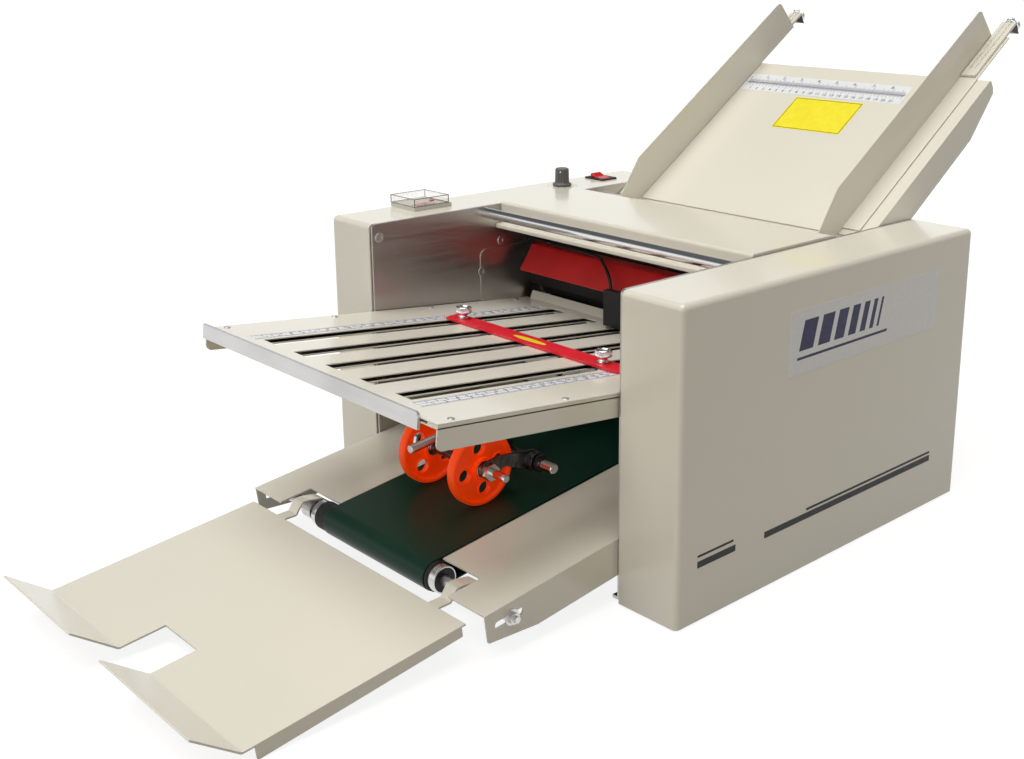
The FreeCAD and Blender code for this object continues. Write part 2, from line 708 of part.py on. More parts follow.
def build_guides():
    """The side guides with their clips over the upper edge, extension bars and end knobs."""
    foot_low, foot_high = guide_lift, guide_lift + guide_wall
    heel_z = table_top_z - (table_top_y - guide_heel_y) * math.tan(math.radians(table_angle)) + 1.0
    wall_line = [on_table(-guide_over, guide_lift) + (2.0,), (guide_heel_y, heel_z, 0.0),
                 (guide_tip_y, guide_tip_z, 0.0), (guide_front_y, guide_front_top_z, 3.0),
                 on_table(-guide_over + 7, guide_high) + (6.0,)]
    wall = prism_x(wall_line, guide_x, guide_x + guide_wall)
    foot = table_block(guide_x, guide_x + guide_foot, -guide_over, guide_foot_end, foot_low, foot_high)
    clip = table_block(guide_x + 3, guide_x + 16, -guide_wall - 0.5, -0.5, -edge_flange - 4, foot_low)
    guide = fuse([wall, foot, clip])
    bar_x = guide_x + 2.0
    under, over = foot_high + snug, foot_high + snug + bar_wall
    bar = table_block(bar_x, bar_x + bar_width, -bar_over, 0, under, over)
    for groove in (4.5, 10.5):
        bar = bar.cut(table_block(bar_x + groove, bar_x + groove + 2.0, -bar_over - 1, -12.0,
                                  over - 0.7, over + 1))
    end = -bar_over + 1
    corners = [(end, under, 0), (end + wedge_long, under, 0), (end, under - wedge_deep, 0.8)]
    wedge = prism_x([on_table(a, u) + (r,) for a, u, r in corners], bar_x + 1, bar_x + bar_width)
    uphill = V(0, cos_deg(table_angle), sin_deg(table_angle))
    knob_y_z = on_table(-bar_over - snug, under - 3.5)
    knob = Part.makeCylinder(knob_radius, knob_height, V(bar_x + bar_width / 2 + 1, *knob_y_z), uphill)
    knob = knob.makeFillet(1.5, near_edges(knob, lambda c: True)[:1])
    parts["feed_guide_right"], parts["feed_guide_left"] = guide, mirror_x(guide)
    extension = Part.makeCompound([bar, wedge])
    parts["extension_bar_right"], parts["extension_bar_left"] = extension, mirror_x(extension)
    parts["guide_knob_right"], parts["guide_knob_left"] = knob, mirror_x(knob)


def build_top_cover():
    """The cover over the rollers between the housings."""
    under = lid_top_z - lid_front_deep
    path = [(lid_front_y - lid_lip, under - lid_hem), (lid_front_y - lid_lip, under),
            (lid_front_y, under), (lid_front_y, lid_top_z), (lid_break_y, lid_top_z),
            (lid_rear_y, lid_rear_z)]
    cover = bent_sheet([p for p in path[::-1]], sheet, bend, -lid_half, lid_half)
    cheek = prism_x([(lid_front_y + sheet, under + 1, 0), (lid_break_y, under + 1, 0),
                     (lid_rear_y - 4, lid_rear_z - 3, 0), (lid_break_y, lid_top_z - 0.5, 0),
                     (lid_front_y + sheet, lid_top_z - 0.5, 0)], lid_half - sheet, lid_half)
    parts["top_cover"] = fuse([cover, cheek, mirror_x(cheek)])


def build_separator():
    """The sprung arm that presses a friction pad on the sheet above the feed roller."""
    angle = table_low_angle
    top = (feed_centre[0] - (feed_radius + snug) * sin_deg(angle),
           feed_centre[1] + (feed_radius + snug) * cos_deg(angle))
    down = (-cos_deg(angle), -sin_deg(angle))
    up = (-sin_deg(angle), cos_deg(angle))

    def at(a, u):
        return (top[0] + down[0] * a + up[0] * u, top[1] + down[1] * a + up[1] * u)

    pad = prism_x([at(-8, 0) + (1,), at(8, 0) + (1,), at(8, 5) + (0,), at(-8, 5) + (0,)], -14, 14)
    py, pz = separator_pivot
    arm = prism_x([at(-10, 5) + (1,), at(10, 5) + (0,), (py + 2, pz - 7, 3), (py - 6, pz + 1, 3),
                   (py + 1, pz + 7, 3), at(-10, 9) + (1,)], -15, 15)
    arm = arm.cut(rod_x(separator_radius + snug / 2, -16, 16, py, pz))
    arm = arm.cut(box(-9, 9, py - 20, py + 16, pz - 20, pz + 20))
    parts["separator_arm"] = Part.makeCompound([arm, pad])


# --- fold plates --------------------------------------------------------------------------
def build_fold_plate_one():
    """The slotted fold plate at the front, in two sheets with a gap for the paper between."""
    low = -sheet - plate_gap
    upper = box(-plate_half, plate_half, 0.4, plate_length, -sheet, 0)
    upper = upper.cut(Part.makeCompound([slot_cut(x, slot_width, slot_start, slot_end, -sheet - 1, 1)
                                         for x in slot_rows]))
    profile = [(plate_length - 3, -sheet, 0), (plate_length, -sheet, 0), (plate_length + 3, lip_height, 0),
               (plate_length + 1.6, lip_height, 0)]
    lips = [prism_x(profile, *span) for span in (lip_left, lip_right)]
    upper = fuse([upper] + lips)
    tray = box(-plate_half, plate_half, 0.4, plate_length - 1, low - sheet, low)
    tray = tray.cut(Part.makeCompound([slot_cut(x, slot_under, slot_start + 4, slot_end - 4, low - 3, 0)
                                       for x in slot_rows]))
    spacer_in = rivet_x - 6
    spacer = box(spacer_in, plate_half, 0.4, plate_length - 1, low, -sheet)
    flange = prism_x([(0.4, -plate_flange_deep, 6), (plate_length - 30, -plate_flange_deep, 2),
                      (plate_length - 1, -sheet - 0.2, 0), (0.4, -sheet - 0.2, 0)],
                     plate_half - sheet, plate_half)
    tray = fuse([tray, spacer, mirror_x(spacer), flange, mirror_x(flange)])
    bar = box(-plate_half, front_bar_right, -front_bar_wall, 0.1, -front_bar_low, front_bar_high)
    corner = near_edges(bar, lambda c: c.x > front_bar_right - 0.01 and abs(c.y + 1.2) < 0.3 and c.z > 0)
    bar = bar.makeFillet(4.0, corner)
    rivets = []
    for x in (-rivet_x, rivet_x):
        for along in rivet_places:
            rivets.append(Part.makeCylinder(rivet_radius, 0.8, V(x, along, 0)))

    def place(shape):
        return tilt(shape, plate_angle, plate_front_y, plate_front_z)

    parts["fold_plate_one"] = place(Part.makeCompound([upper] + rivets))
    parts["fold_plate_one_tray"] = place(tray)
    parts["fold_plate_one_bar"] = place(bar)


def stop_pieces(at, shift, rows):
    """A red stop bar, the dark strip that stops the paper, and a clamp screw for each row."""
    low = -sheet - plate_gap / 2 - strip_wall / 2
    lift = ruler_wall + snug
    near, far = at - stop_width / 2, at + stop_width / 2
    left, right = shift - stop_half, shift + stop_half
    bar = prism_z([(left, near, 0), (right, near, 0), (right + 6, near + 5, 0), (right + 6, far, 0),
                   (left - 10, far, 0)], lift, lift + stop_wall)
    strip = box(slot_rows[0] - 9, slot_rows[-1] + 9, near - 5, at + 6, low, low + strip_wall)
    top = lift + stop_wall
    holes = Part.makeCompound([rod_z(screw_radius + shaft_fit, x, at, low - 1, top + 1) for x in rows])
    neck = top + screw_stem
    profile = [(0, low), (screw_radius, low), (screw_radius, top + snug), (5.6, top + snug), (4.4, top + 3),
               (4.8, neck - 1), (screw_head, neck), (screw_head, neck + screw_head_high - 0.6),
               (screw_head - 0.6, neck + screw_head_high), (0, neck + screw_head_high)]
    wire = Part.makePolygon([V(a, 0, b) for a, b in profile + profile[:1]])
    screw = Part.Face(wire).revolve(V(0, 0, 0), V(0, 0, 1), 360)
    screws = []
    for x in rows:
        moved = screw.copy()
        moved.translate(V(x, at, 0))
        screws.append(moved)
    return Part.makeCompound([bar.cut(holes), strip.cut(holes)]), screws


def build_stops():
    """The stop bars of both fold plates with their clamp screws."""
    frame = (plate_angle, plate_front_y, plate_front_z)
    bar, screws = stop_pieces(stop_at, stop_shift, [slot_rows[0], slot_rows[-1]])
    parts["stop_bar_one"] = tilt(bar, *frame)
    parts["stop_screw_left"], parts["stop_screw_right"] = [tilt(screw, *frame) for screw in screws]
    frame = (rear_plate_angle, rear_plate_y, rear_plate_z)
    bar, screws = stop_pieces(rear_stop_at, 2.0, [slot_rows[2]])
    parts["stop_bar_two"] = tilt(bar, *frame)
    parts["stop_screw_rear"] = tilt(screws[0], *frame)


def build_fold_plate_two():
    """The shorter fold plate at the rear, below the feed table."""
    low = -sheet - plate_gap
    length = rear_plate_length
    cuts = [slot_cut(x, slot_width, 12.0, length - 14, -sheet - 1, 1) for x in slot_rows]
    upper = box(-plate_half, plate_half, 0, length, -sheet, 0).cut(Part.makeCompound(cuts))
    under = box(-plate_half, plate_half, 0, length, low - sheet, low)
    under = under.cut(Part.makeCompound([slot_cut(x, slot_under, 16.0, length - 18, low - 3, 0)
                                         for x in slot_rows]))
    spacer = box(rivet_x - 6, plate_half, 0, length, low, -sheet)
    flange = box(plate_half - sheet, plate_half, 0, length, -16, -sheet)
    end = box(-plate_half, plate_half, length - sheet, length, -16, -sheet)
    plate = fuse([upper, under, spacer, mirror_x(spacer), flange, mirror_x(flange), end])
    parts["fold_plate_two"] = tilt(plate, rear_plate_angle, rear_plate_y, rear_plate_z)


shield_low = 187.0
shield_high = 238.0
shield_roof = 34.0
guard_low = 209.0
guard_high = 236.0
guard_half = 156.0
guard_reach = 29.7
cable_radius = 1.75
sensor_x = (-17.0, 7.0)
sensor_y = (-43.0, -35.0)
sensor_z = (177.5, 215.5)
cable_points = [(-186.0, -7.0, 241.0), (-150.0, -13.0, 241.5), (-95.0, -14.5, 239.6), (-52.0, -15.5, 240.5),
                (-28.0, -31.0, 237.0), (-13.0, -38.0, 228.0), (-10.0, -39.0, 216.2)]


def build_roller_covering():
    """The black shield before the first roller, the red guard, the sheet sensor and its cable."""
    y = roller_one[0] - roller_radius - 4.0 - sheet
    shield = bent_sheet([(y + shield_roof, shield_high + 6.0), (y, shield_high), (y, shield_low)], sheet, bend,
                        -inner_x + doubler + snug, inner_x - doubler - snug)
    parts["roller_shield"] = shield
    front = y - snug
    path = [(front - guard_reach, guard_low), (front - guard_reach + 18.0, guard_high - 1.0), (front, guard_high)]
    parts["red_guard"] = bent_sheet(path, sheet, bend, -guard_half, guard_half)
    head = box(*sensor_x, *sensor_y, *sensor_z)
    head = head.makeFillet(1.5, near_edges(head, lambda c: c.z > sensor_z[1] - 0.1))
    stem = box(*sensor_x, sensor_y[0] + 4, front, 186.0, 203.0)
    parts["paper_sensor"] = fuse([head, stem])
    parts["sensor_cable"] = tube_along(cable_points, cable_radius)


def tube_along(points, radius):
    """A tube along straight runs that tangent arcs join, each arc as large as its runs allow."""
    pts = [V(*p) for p in points]
    arcs = []
    for i in range(1, len(pts) - 1):
        u, w = pts[i - 1] - pts[i], pts[i + 1] - pts[i]
        short = min(u.Length, w.Length)
        half_turn = (math.pi - u.getAngle(w)) / 2
        bend_radius = 0.45 * short / math.tan(half_turn)
        reach = 0.45 * short
        u.normalize()
        w.normalize()
        inward = (u + w).normalize()
        middle = pts[i] + inward * (bend_radius / math.cos(half_turn) - bend_radius)
        arcs.append((pts[i] + u * reach, middle, pts[i] + w * reach))
        print("cable arc radius", round(bend_radius, 1))
    edges = []
    here = pts[0]
    for first, middle, last in arcs:
        edges.append(Part.LineSegment(here, first).toShape())
        edges.append(Part.Arc(first, middle, last).toShape())
        here = last
    edges.append(Part.LineSegment(here, pts[-1]).toShape())
    wire = Part.Wire(edges)
    ring = Part.Wire([Part.makeCircle(radius, pts[0], pts[1] - pts[0])])
    tube = wire.makePipeShell([ring], True, False)
    print("cable length", round(wire.Length, 1), "volume over section times length",
          round(tube.Volume / (math.pi * radius ** 2 * wire.Length), 4))
    return tube


# --- conveyor -----------------------------------------------------------------------------
def build_decks():
    """The two decks beside the belt, the bed under it and its cross bars."""
    deck = box(deck_inner, deck_half, 0, deck_length, -sheet, 0)
    deck = deck.cut(box(deck_inner - 1, notch_x, -1, notch_deep, -sheet - 1, 1))
    flange = prism_x([(0, -deck_flange_front, 2), (52, -deck_flange, 0), (deck_length, -deck_flange, 0),
                      (deck_length, 0, 0), (0, 0, 0)], deck_half - sheet, deck_half)
    deck = fuse([deck, flange])
    place = (deck_angle, deck_front_y, deck_front_z)
    right = tilt(deck, *place)
    slot_y, slot_z = front_axle
    slope = math.tan(math.radians(deck_angle))
    slot = prism_x([(slot_y + a, slot_z + a * slope + b, axle_slot - 0.1)
                    for a, b in ((-17, -axle_slot), (12.5, -axle_slot), (12.5, axle_slot), (-17, axle_slot))],
                   deck_half - sheet - 1, deck_half + 1)
    right = right.cut(slot)
    parts["deck_right"] = right
    parts["deck_left"] = mirror_x(right)

    axle_along = (front_axle_y - deck_front_y) * cos_deg(deck_angle)
    bed_top = belt_surface_up - belt_wall_main - snug
    bed = box(-belt_half + 2, belt_half - 2, axle_along + belt_radius + 4,
              axle_along + belt_centres - belt_radius - 4, -sheet, bed_top)
    bars = [box(-deck_half + sheet, deck_half - sheet, along - 9, along + 9, -sheet - 4, -sheet)
            for along in (110.0, 250.0)]
    parts["belt_bed"] = tilt(fuse([bed] + bars), *place)


axle_up = ((front_axle_z - deck_front_z) * cos_deg(deck_angle)
           - (front_axle_y - deck_front_y) * sin_deg(deck_angle))
belt_surface_up = axle_up + belt_inner + belt_wall_main


def build_conveyor():
    """The belt with its two rollers."""
    parts["conveyor_belt"] = belt_loop(front_axle, rear_axle, belt_inner, belt_wall_main,
                                       -belt_half, belt_half)
    ends = (front_roller_left, front_roller_right)
    front = rod_x(belt_radius, *ends, *front_axle)
    front = front.makeChamfer(0.6, near_edges(front, lambda c: min(abs(c.x - end) for end in ends) < 0.1))
    recess = [rod_x(belt_radius - 2.6, end - 2, end + 2, *front_axle) for end in ends]
    bore = rod_x(journal + shaft_fit, ends[0] - 1, ends[1] + 1, *front_axle)
    parts["belt_roller_front"] = front.cut(Part.makeCompound(recess)).cut(bore)
    rear = fuse([rod_x(belt_radius, -belt_half - 2, belt_half + 2, *rear_axle),
                 rod_x(journal, second_pulley_x - 2, inner_x + side_plate + 3, *rear_axle)])
    parts["belt_roller_rear"] = Part.makeCompound([rear, pulley(rear_axle, second_pulley_x)])


wheel_centre = slope_point(wheel_at, belt_surface_up + snug + wheel_radius, deck_angle,
                           deck_front_y, deck_front_z)


def build_wheels():
    """The press wheels on their swinging arms, and the carriage that slides on the guide rod."""
    wy, wz = wheel_centre
    for name, x in (("right", carriage_x + wheel_spread), ("left", carriage_x - wheel_spread)):
        x0, x1 = x - wheel_width / 2, x + wheel_width / 2
        wheel = rod_x(wheel_radius, x0, x1, wy, wz)
        wheel = wheel.makeFillet(1.5, near_edges(wheel, lambda c: abs(c.x - x) > 4.9))
        dish = [rod_x(wheel_radius - 4, a, b, wy, wz) for a, b in ((x0 - 1, x0 + 2.2), (x1 - 2.2, x1 + 1))]
        hub = rod_x(wheel_hub, x0 - 1.5, x1 + 1.5, wy, wz)
        wheel = wheel.cut(Part.makeCompound(dish)).fuse(hub)
        turn = 0 if name == "right" else 45
        holes = []
        for n in range(4):
            angle = math.radians(8 + turn + 90 * n)
            holes.append(rod_x(wheel_hole, x0 - 3, x1 + 3, wy + wheel_hole_ring * math.cos(angle),
                               wz + wheel_hole_ring * math.sin(angle)))
        holes.append(rod_x(wheel_axle + shaft_fit, x0 - 3, x1 + 3, wy, wz))
        parts["press_wheel_" + name] = wheel.cut(Part.makeCompound(holes)).removeSplitter()

    axle = rod_x(wheel_axle, wheel_axle_left, wheel_axle_right, wy, wz)
    axle = axle.makeChamfer(0.8, near_edges(axle, lambda c: c.x > wheel_axle_right - 0.1))
    arms = []
    for x in (arm_x, 2 * carriage_x - arm_x):
        line = [(wy - 8, wz - 6, 6), (wy - 8, wz + 8, 6), (wy + 12, wz + 12, 14),
                (cross_y + 9, cross_z + 9, 7), (cross_y + 9, cross_z - 9, 7), (cross_y - 8, cross_z - 6, 5),
                (wy + 16, wz + 1, 14), (wy + 8, wz - 8, 6)]
        arm = prism_x(line, x - arm_wall / 2, x + arm_wall / 2)
        collar = rod_x(cross_radius + 4.5, x - 2, x + 9, cross_y, cross_z)
        arm = fuse([arm, collar]).cut(rod_x(cross_radius + snug, x - 20, x + 20, cross_y, cross_z))
        arms.append(arm)
    nuts = [rod_x(7.0, x, x + 4.5, wy, wz) for x in (arm_x + arm_wall / 2, 2 * carriage_x - arm_x - 6.0)]
    parts["wheel_arms"] = fuse(arms + [axle] + nuts)

    rod_here = slope_point(0, 0, deck_angle, guide_rod_front_y, guide_rod_front_z)
    lift = rod_here[1] + (cross_y - rod_here[0]) * math.tan(math.radians(deck_angle))
    outline = [(cross_y - 10, cross_z - 9, 5), (cross_y + 10, cross_z - 9, 5), (cross_y + 12, lift + 9, 3),
               (cross_y - 12, lift + 6, 3)]
    block = prism_x(outline, carriage_x - 9, carriage_x + 9)
    bore = Part.makeCylinder(guide_rod_radius + shaft_fit, guide_rod_length, V(carriage_x, 0, 0), V(0, 1, 0))
    block = block.cut(tilt(bore, deck_angle, guide_rod_front_y, guide_rod_front_z))
    shaft = rod_x(cross_radius, cross_left, cross_right, cross_y, cross_z)
    shaft = shaft.makeChamfer(0.8, near_edges(shaft, lambda c: c.x > cross_right - 0.1))
    parts["wheel_carriage"] = fuse([block, shaft])

    base = V(carriage_x + 9 + snug, cross_y, (cross_z + lift) / 2 + 8)
    stem = Part.makeCylinder(3.0, 8.0, base, V(1, 0, 0))
    wing = box(base.x + 6, base.x + 10, cross_y - 11, cross_y + 11, base.z - 4, base.z + 4)
    wing = wing.makeFillet(3.0, near_edges(wing, lambda c: abs(c.z - base.z) > 3.9 and abs(c.y - cross_y) > 10.9))
    parts["wing_screw"] = fuse([stem, wing])


# --- delivery tray ------------------------------------------------------------------------
def on_tray(along, up):
    """The y, z of a point along the tray from its back edge towards the front, and above it."""
    return (tray_back_y - along * cos_deg(tray_angle) - up * sin_deg(tray_angle),
            tray_back_z - along * sin_deg(tray_angle) + up * cos_deg(tray_angle))


def build_tray():
    """The delivery tray with two lips at its front and two hooks over the axle collars."""
    back, fold = on_tray(0, 0), on_tray(tray_length, 0)
    tip = (fold[0] - tray_lip * cos_deg(tray_lip_angle), fold[1] + tray_lip * sin_deg(tray_lip_angle))
    floor = bent_sheet([back, fold, tip], sheet, 3.0, -tray_half, tray_half)
    gap = box(tray_notch[0], tray_notch[1], fold[0] - 60, fold[0] + tray_notch_deep, -20, 90)
    floor = floor.cut(gap)
    front = tray_length - 10
    front_deep = (on_tray(front, 0)[1] - snug) / cos_deg(tray_angle)
    flange_line = [(4, -tray_flange), (front, -front_deep), (front, -0.2), (4, -0.2)]
    flange = prism_x([on_tray(a, u) + (1.0,) for a, u in flange_line], tray_half - sheet, tray_half)
    hooks = []
    over = (front_axle[0], front_axle[1] + collar_radius + snug + 0.1)
    top = back[1] + hook_rise - sheet
    line = [on_tray(14, -sheet), on_tray(0, -sheet), (back[0] + 13.5, back[1] + 0.4 - sheet),
            (back[0] + 16.0, back[1] + 4.5 - sheet), (back[0] + 20.5, top - 0.2), (back[0] + 27.0, top),
            over, (over[0] + 5.0, over[1] - 0.9), (over[0] + collar_radius, over[1] - 4.6),
            (over[0] + collar_radius + 0.7, over[1] - 9.5)]
    for x in hook_places:
        hooks.append(bent_sheet(line, sheet, 1.2, x - hook_half, x + hook_half))
    parts["delivery_tray"] = fuse([floor, flange, mirror_x(flange)] + hooks)


# --- controls and printed plates ----------------------------------------------------------
def build_controls():
    """Counter with its clear lid, speed knob, mains switch, inlet and control board."""
    z0 = top_z
    x0, x1 = counter_x - counter_wide / 2, counter_x + counter_wide / 2
    y0, y1 = counter_y - counter_deep / 2, counter_y + counter_deep / 2
    base = box(x0, x1, y0, y1, z0, z0 + counter_base)
    base = base.makeFillet(1.5, near_edges(base, lambda c: abs(c.z - z0 - counter_base / 2) < 0.1))
    base = base.cut(box(x1 - 17, x1 - 5, y0 + 8, y0 + 34, z0 + counter_base - 1.2, z0 + counter_base + 1))
    frame = box(switch_x - switch_wide / 2, switch_x + switch_wide / 2, switch_y - switch_deep / 2,
                switch_y + switch_deep / 2, z0, z0 + switch_bezel)
    frame = frame.makeFillet(1.0, near_edges(frame, lambda c: c.z > z0 + switch_bezel - 0.1))
    sleeve = box(switch_x - 12.7, switch_x + 12.7, switch_y - 9.3, switch_y + 9.3, z0 - 18, z0 + 0.5)
    well = box(switch_x - rocker_well, switch_x + rocker_well, switch_y - 8, switch_y + 8, z0 - 12, z0 + 5)
    parts["control_bezels"] = Part.makeCompound([base, fuse([frame, sleeve]).cut(well)])
    low = z0 + counter_base + 0.2
    lid = box(x0, x1, y0, y1 - 3.5, low, low + counter_lid)
    lid = lid.makeFillet(1.5, near_edges(lid, lambda c: c.z > low + 1))
    lid = lid.cut(box(x0 + counter_wall, x1 - counter_wall, y0 + counter_wall,
                      y1 - 3.5 - counter_wall, low - 1, low + counter_lid - counter_wall))
    barrel = rod_x(1.3, x0 + 4, x1 - 4, y1 - 2.4, low + 1.4)
    strap = box(x0 + 4, x1 - 4, y1 - 4.6, y1 - 2.4, low + 0.6, low + 2.4)
    parts["counter_lid"] = fuse([lid, barrel, strap])
    skirt = rod_z(speed_skirt, knob_x, knob_y, z0 + snug, z0 + 3.5)
    grip = rod_z(speed_body, knob_x, knob_y, z0 + 3.5, z0 + speed_high)
    grip = grip.makeFillet(1.0, near_edges(grip, lambda c: c.z > z0 + speed_high - 0.1))
    flutes = []
    for n in range(12):
        angle = math.radians(30 * n)
        flutes.append(rod_z(1.2, knob_x + (speed_body + 0.5) * math.cos(angle),
                            knob_y + (speed_body + 0.5) * math.sin(angle), z0 + 5, z0 + speed_high - 3))
    stem = rod_z(3.0, knob_x, knob_y, z0 - 10, z0 + snug)
    parts["speed_knob"] = fuse([skirt, grip.cut(Part.makeCompound(flutes)), stem])
    half = rocker_well - 0.5
    cap = prism_along_y([(-half, z0 - 3, 0), (half, z0 - 3, 0), (half - 0.2, z0 + 1.6, 1.5),
                         (0, z0 + 3.2, 6), (1.2 - half, z0 + 6.6, 1.5)], switch_y - 7.6, switch_y + 7.6)
    cap.translate(V(switch_x, 0, 0))
    parts["rocker_switch"] = cap
    depth = housing_depth / 2
    inlet = box(inlet_x - inlet_wide / 2 + snug, inlet_x + inlet_wide / 2 - snug, depth - 18, depth + 1.5,
                inlet_low + snug, inlet_low + inlet_high - snug)
    well_cut = box(inlet_x - 10, inlet_x + 10, depth - 14, depth + 3, inlet_low + 3, inlet_low + 17)
    plate_face = -inner_x - side_plate
    board = box(plate_face - board_gap - board_wall, plate_face - board_gap, board_y - 65, board_y + 65,
                board_z - 45, board_z + 45)
    posts = [rod_x(3.0, plate_face - board_gap, plate_face, board_y + a, board_z + b)
             for a in (-55, 55) for b in (-37, 37)]
    parts["power_inlet"] = inlet.cut(well_cut)
    parts["control_board"] = fuse([board] + posts)


def prism_along_y(points, y0, y1):
    """A profile of (x, z, radius) corners, drawn out along Y."""
    wire = rounded_wire(points, lambda a, b: V(a, y0, b))
    return Part.Face(wire).extrude(V(0, y1 - y0, 0))


def build_prints():
    """Thin printed plates: rulers, the two labels and the trim stripes of the right housing."""
    thick = ruler_wall
    plates = [table_block(1 - guide_x, 91.0, *table_rule, 0, thick),
              table_block(*table_label_x, *table_label, 0, thick)]
    for span in plate_rules_x:
        strip = box(*span, *plate_rule, 0, thick)
        plates.append(tilt(strip, plate_angle, plate_front_y, plate_front_z))
    for place in (side_label, front_thin_stripe, front_wide_stripe, rear_wide_stripe, rear_thin_stripe):
        plates.append(box(outer_x, outer_x + thick, *place))
    parts["printed_plates"] = Part.makeCompound(plates)


build_base()
build_covers()
build_cross_pieces()
build_screws()
build_rollers()
build_drive()
build_table()
build_guides()
build_top_cover()
build_separator()
build_fold_plate_one()
build_stops()
build_fold_plate_two()
build_roller_covering()
build_decks()
build_conveyor()
build_wheels()
build_tray()
build_controls()
build_prints()

os.makedirs("parts", exist_ok=True)
for name, shape in sorted(parts.items()):
    if not shape.isValid():
        print("not valid:", name)
    shape.exportStep("parts/%s.step" % name)
print(len(parts), "nodes,", sum(len(s.Solids) for s in parts.values()), "solids")
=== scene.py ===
# %% [markdown]
# # A desk paper folding machine, dressed for its picture
#
# The working model comes first: sixty named pieces, each in its true place and riding on its body. This
# lesson adds what a drawing of solids can't show, namely the finishes, the printed rulers, the knurls and
# flutes, the display, and a few small pieces with softer shapes. Everything stays in the model's own frame.
# Blender counts in metres, and the shapes below are written in millimetres.

# %% Load the working model
import math

import bmesh
import bpy
import numpy as np
from mathutils import Matrix, Vector


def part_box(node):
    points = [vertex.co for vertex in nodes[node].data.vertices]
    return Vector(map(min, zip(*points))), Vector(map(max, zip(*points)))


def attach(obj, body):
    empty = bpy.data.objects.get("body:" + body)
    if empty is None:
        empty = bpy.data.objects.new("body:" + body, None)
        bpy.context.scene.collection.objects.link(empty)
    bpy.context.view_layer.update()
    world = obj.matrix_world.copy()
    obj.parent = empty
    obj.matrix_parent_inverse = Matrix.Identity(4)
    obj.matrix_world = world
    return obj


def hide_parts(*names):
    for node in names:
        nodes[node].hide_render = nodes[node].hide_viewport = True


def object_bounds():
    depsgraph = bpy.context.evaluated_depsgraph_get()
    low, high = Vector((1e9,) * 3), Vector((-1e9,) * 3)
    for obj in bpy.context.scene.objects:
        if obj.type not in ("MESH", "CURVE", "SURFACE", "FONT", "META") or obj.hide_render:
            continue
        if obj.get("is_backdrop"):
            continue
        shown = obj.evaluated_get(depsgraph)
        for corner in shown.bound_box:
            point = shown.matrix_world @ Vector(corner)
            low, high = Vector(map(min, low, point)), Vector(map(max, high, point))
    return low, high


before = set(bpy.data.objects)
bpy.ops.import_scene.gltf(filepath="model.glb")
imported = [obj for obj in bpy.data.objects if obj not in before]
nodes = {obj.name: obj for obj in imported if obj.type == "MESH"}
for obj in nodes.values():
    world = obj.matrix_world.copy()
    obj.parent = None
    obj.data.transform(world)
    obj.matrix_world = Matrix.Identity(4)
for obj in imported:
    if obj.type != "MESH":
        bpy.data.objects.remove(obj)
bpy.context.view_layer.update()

MM = 0.001

# %% [markdown]
# ## The camera
# The machine is seen from its front right, from a little above, as a person sees it on a table. The camera
# could be aimed with a Track To constraint, but three plain turns say the same and leave nothing to follow:
# face along +Y, tip down, then swing round to the left. The small shift puts the machine in the frame's
# middle.

# %% Place the camera
SWING, TIP, ROLL = 46.37, 14.77, 0.17           # degrees

camera_data = bpy.data.cameras.new("camera")
camera_data.sensor_width = 36.0
camera_data.lens = 45.62
camera_data.shift_x, camera_data.shift_y = -0.0651, -0.0830
camera_data.clip_start, camera_data.clip_end = 0.05, 40.0
camera = bpy.data.objects.new("camera", camera_data)
camera.matrix_world = (
    Matrix.Translation((0.8900, -0.9421, 0.5465))
    @ Matrix.Rotation(math.radians(SWING), 4, "Z")
    @ Matrix.Rotation(math.radians(90.0 - TIP), 4, "X")
    @ Matrix.Rotation(math.radians(ROLL), 4, "Z")
)
bpy.context.scene.collection.objects.link(camera)
bpy.context.scene.camera = camera
print("camera at", [round(v, 3) for v in camera.matrix_world.translation])

# %% [markdown]
# ## Floor, sky and lamps
# A studio picture of a product has a white ground, and the paint still shows its own colour. Turning the
# lamps up until the floor is white would burn out the cream paint. Light Path separates the two: rays that
# come from the camera, from gloss or through clear plastic meet white, while the light that falls on the
# machine stays plain. The floor is partly lit by the lamps, so that it keeps the shadow under the machine.
# A studio is not white all round, though: between the bright backdrop and the lamp overhead hangs a dark
# ceiling, and chrome is only read as chrome where it mirrors that dark. So gloss meets a sky whose
# brightness depends on how steeply the ray climbs.

# %% Build the floor and the sky
def add(tree, *kinds):
    """New shader nodes of the named kinds, in that order."""
    return [tree.nodes.new("ShaderNode" + kind) for kind in kinds]


def fill_in(node, **values):
    """Sets a node's input sockets. A socket's name is written with _ for each space."""
    for socket, value in values.items():
        node.inputs[socket.replace("_", " ")].default_value = value


def joined(tree, *pairs):
    """Links each (output socket, input socket) pair."""
    for source, target in pairs:
        tree.links.new(source, target)


def white_to_lens(tree):
    """A socket that is 1 for camera, glossy and transmission rays and else 0: the largest of the three."""
    ray, first, second = add(tree, "LightPath", "Math", "Math")
    first.operation = second.operation = "MAXIMUM"
    joined(
        tree,
        (ray.outputs["Is Camera Ray"], first.inputs[0]),
        (ray.outputs["Is Glossy Ray"], first.inputs[1]),
        (first.outputs[0], second.inputs[0]),
        (ray.outputs["Is Transmission Ray"], second.inputs[1]),
    )
    return second.outputs[0]


scene = bpy.context.scene
scene.view_settings.view_transform = "Standard"

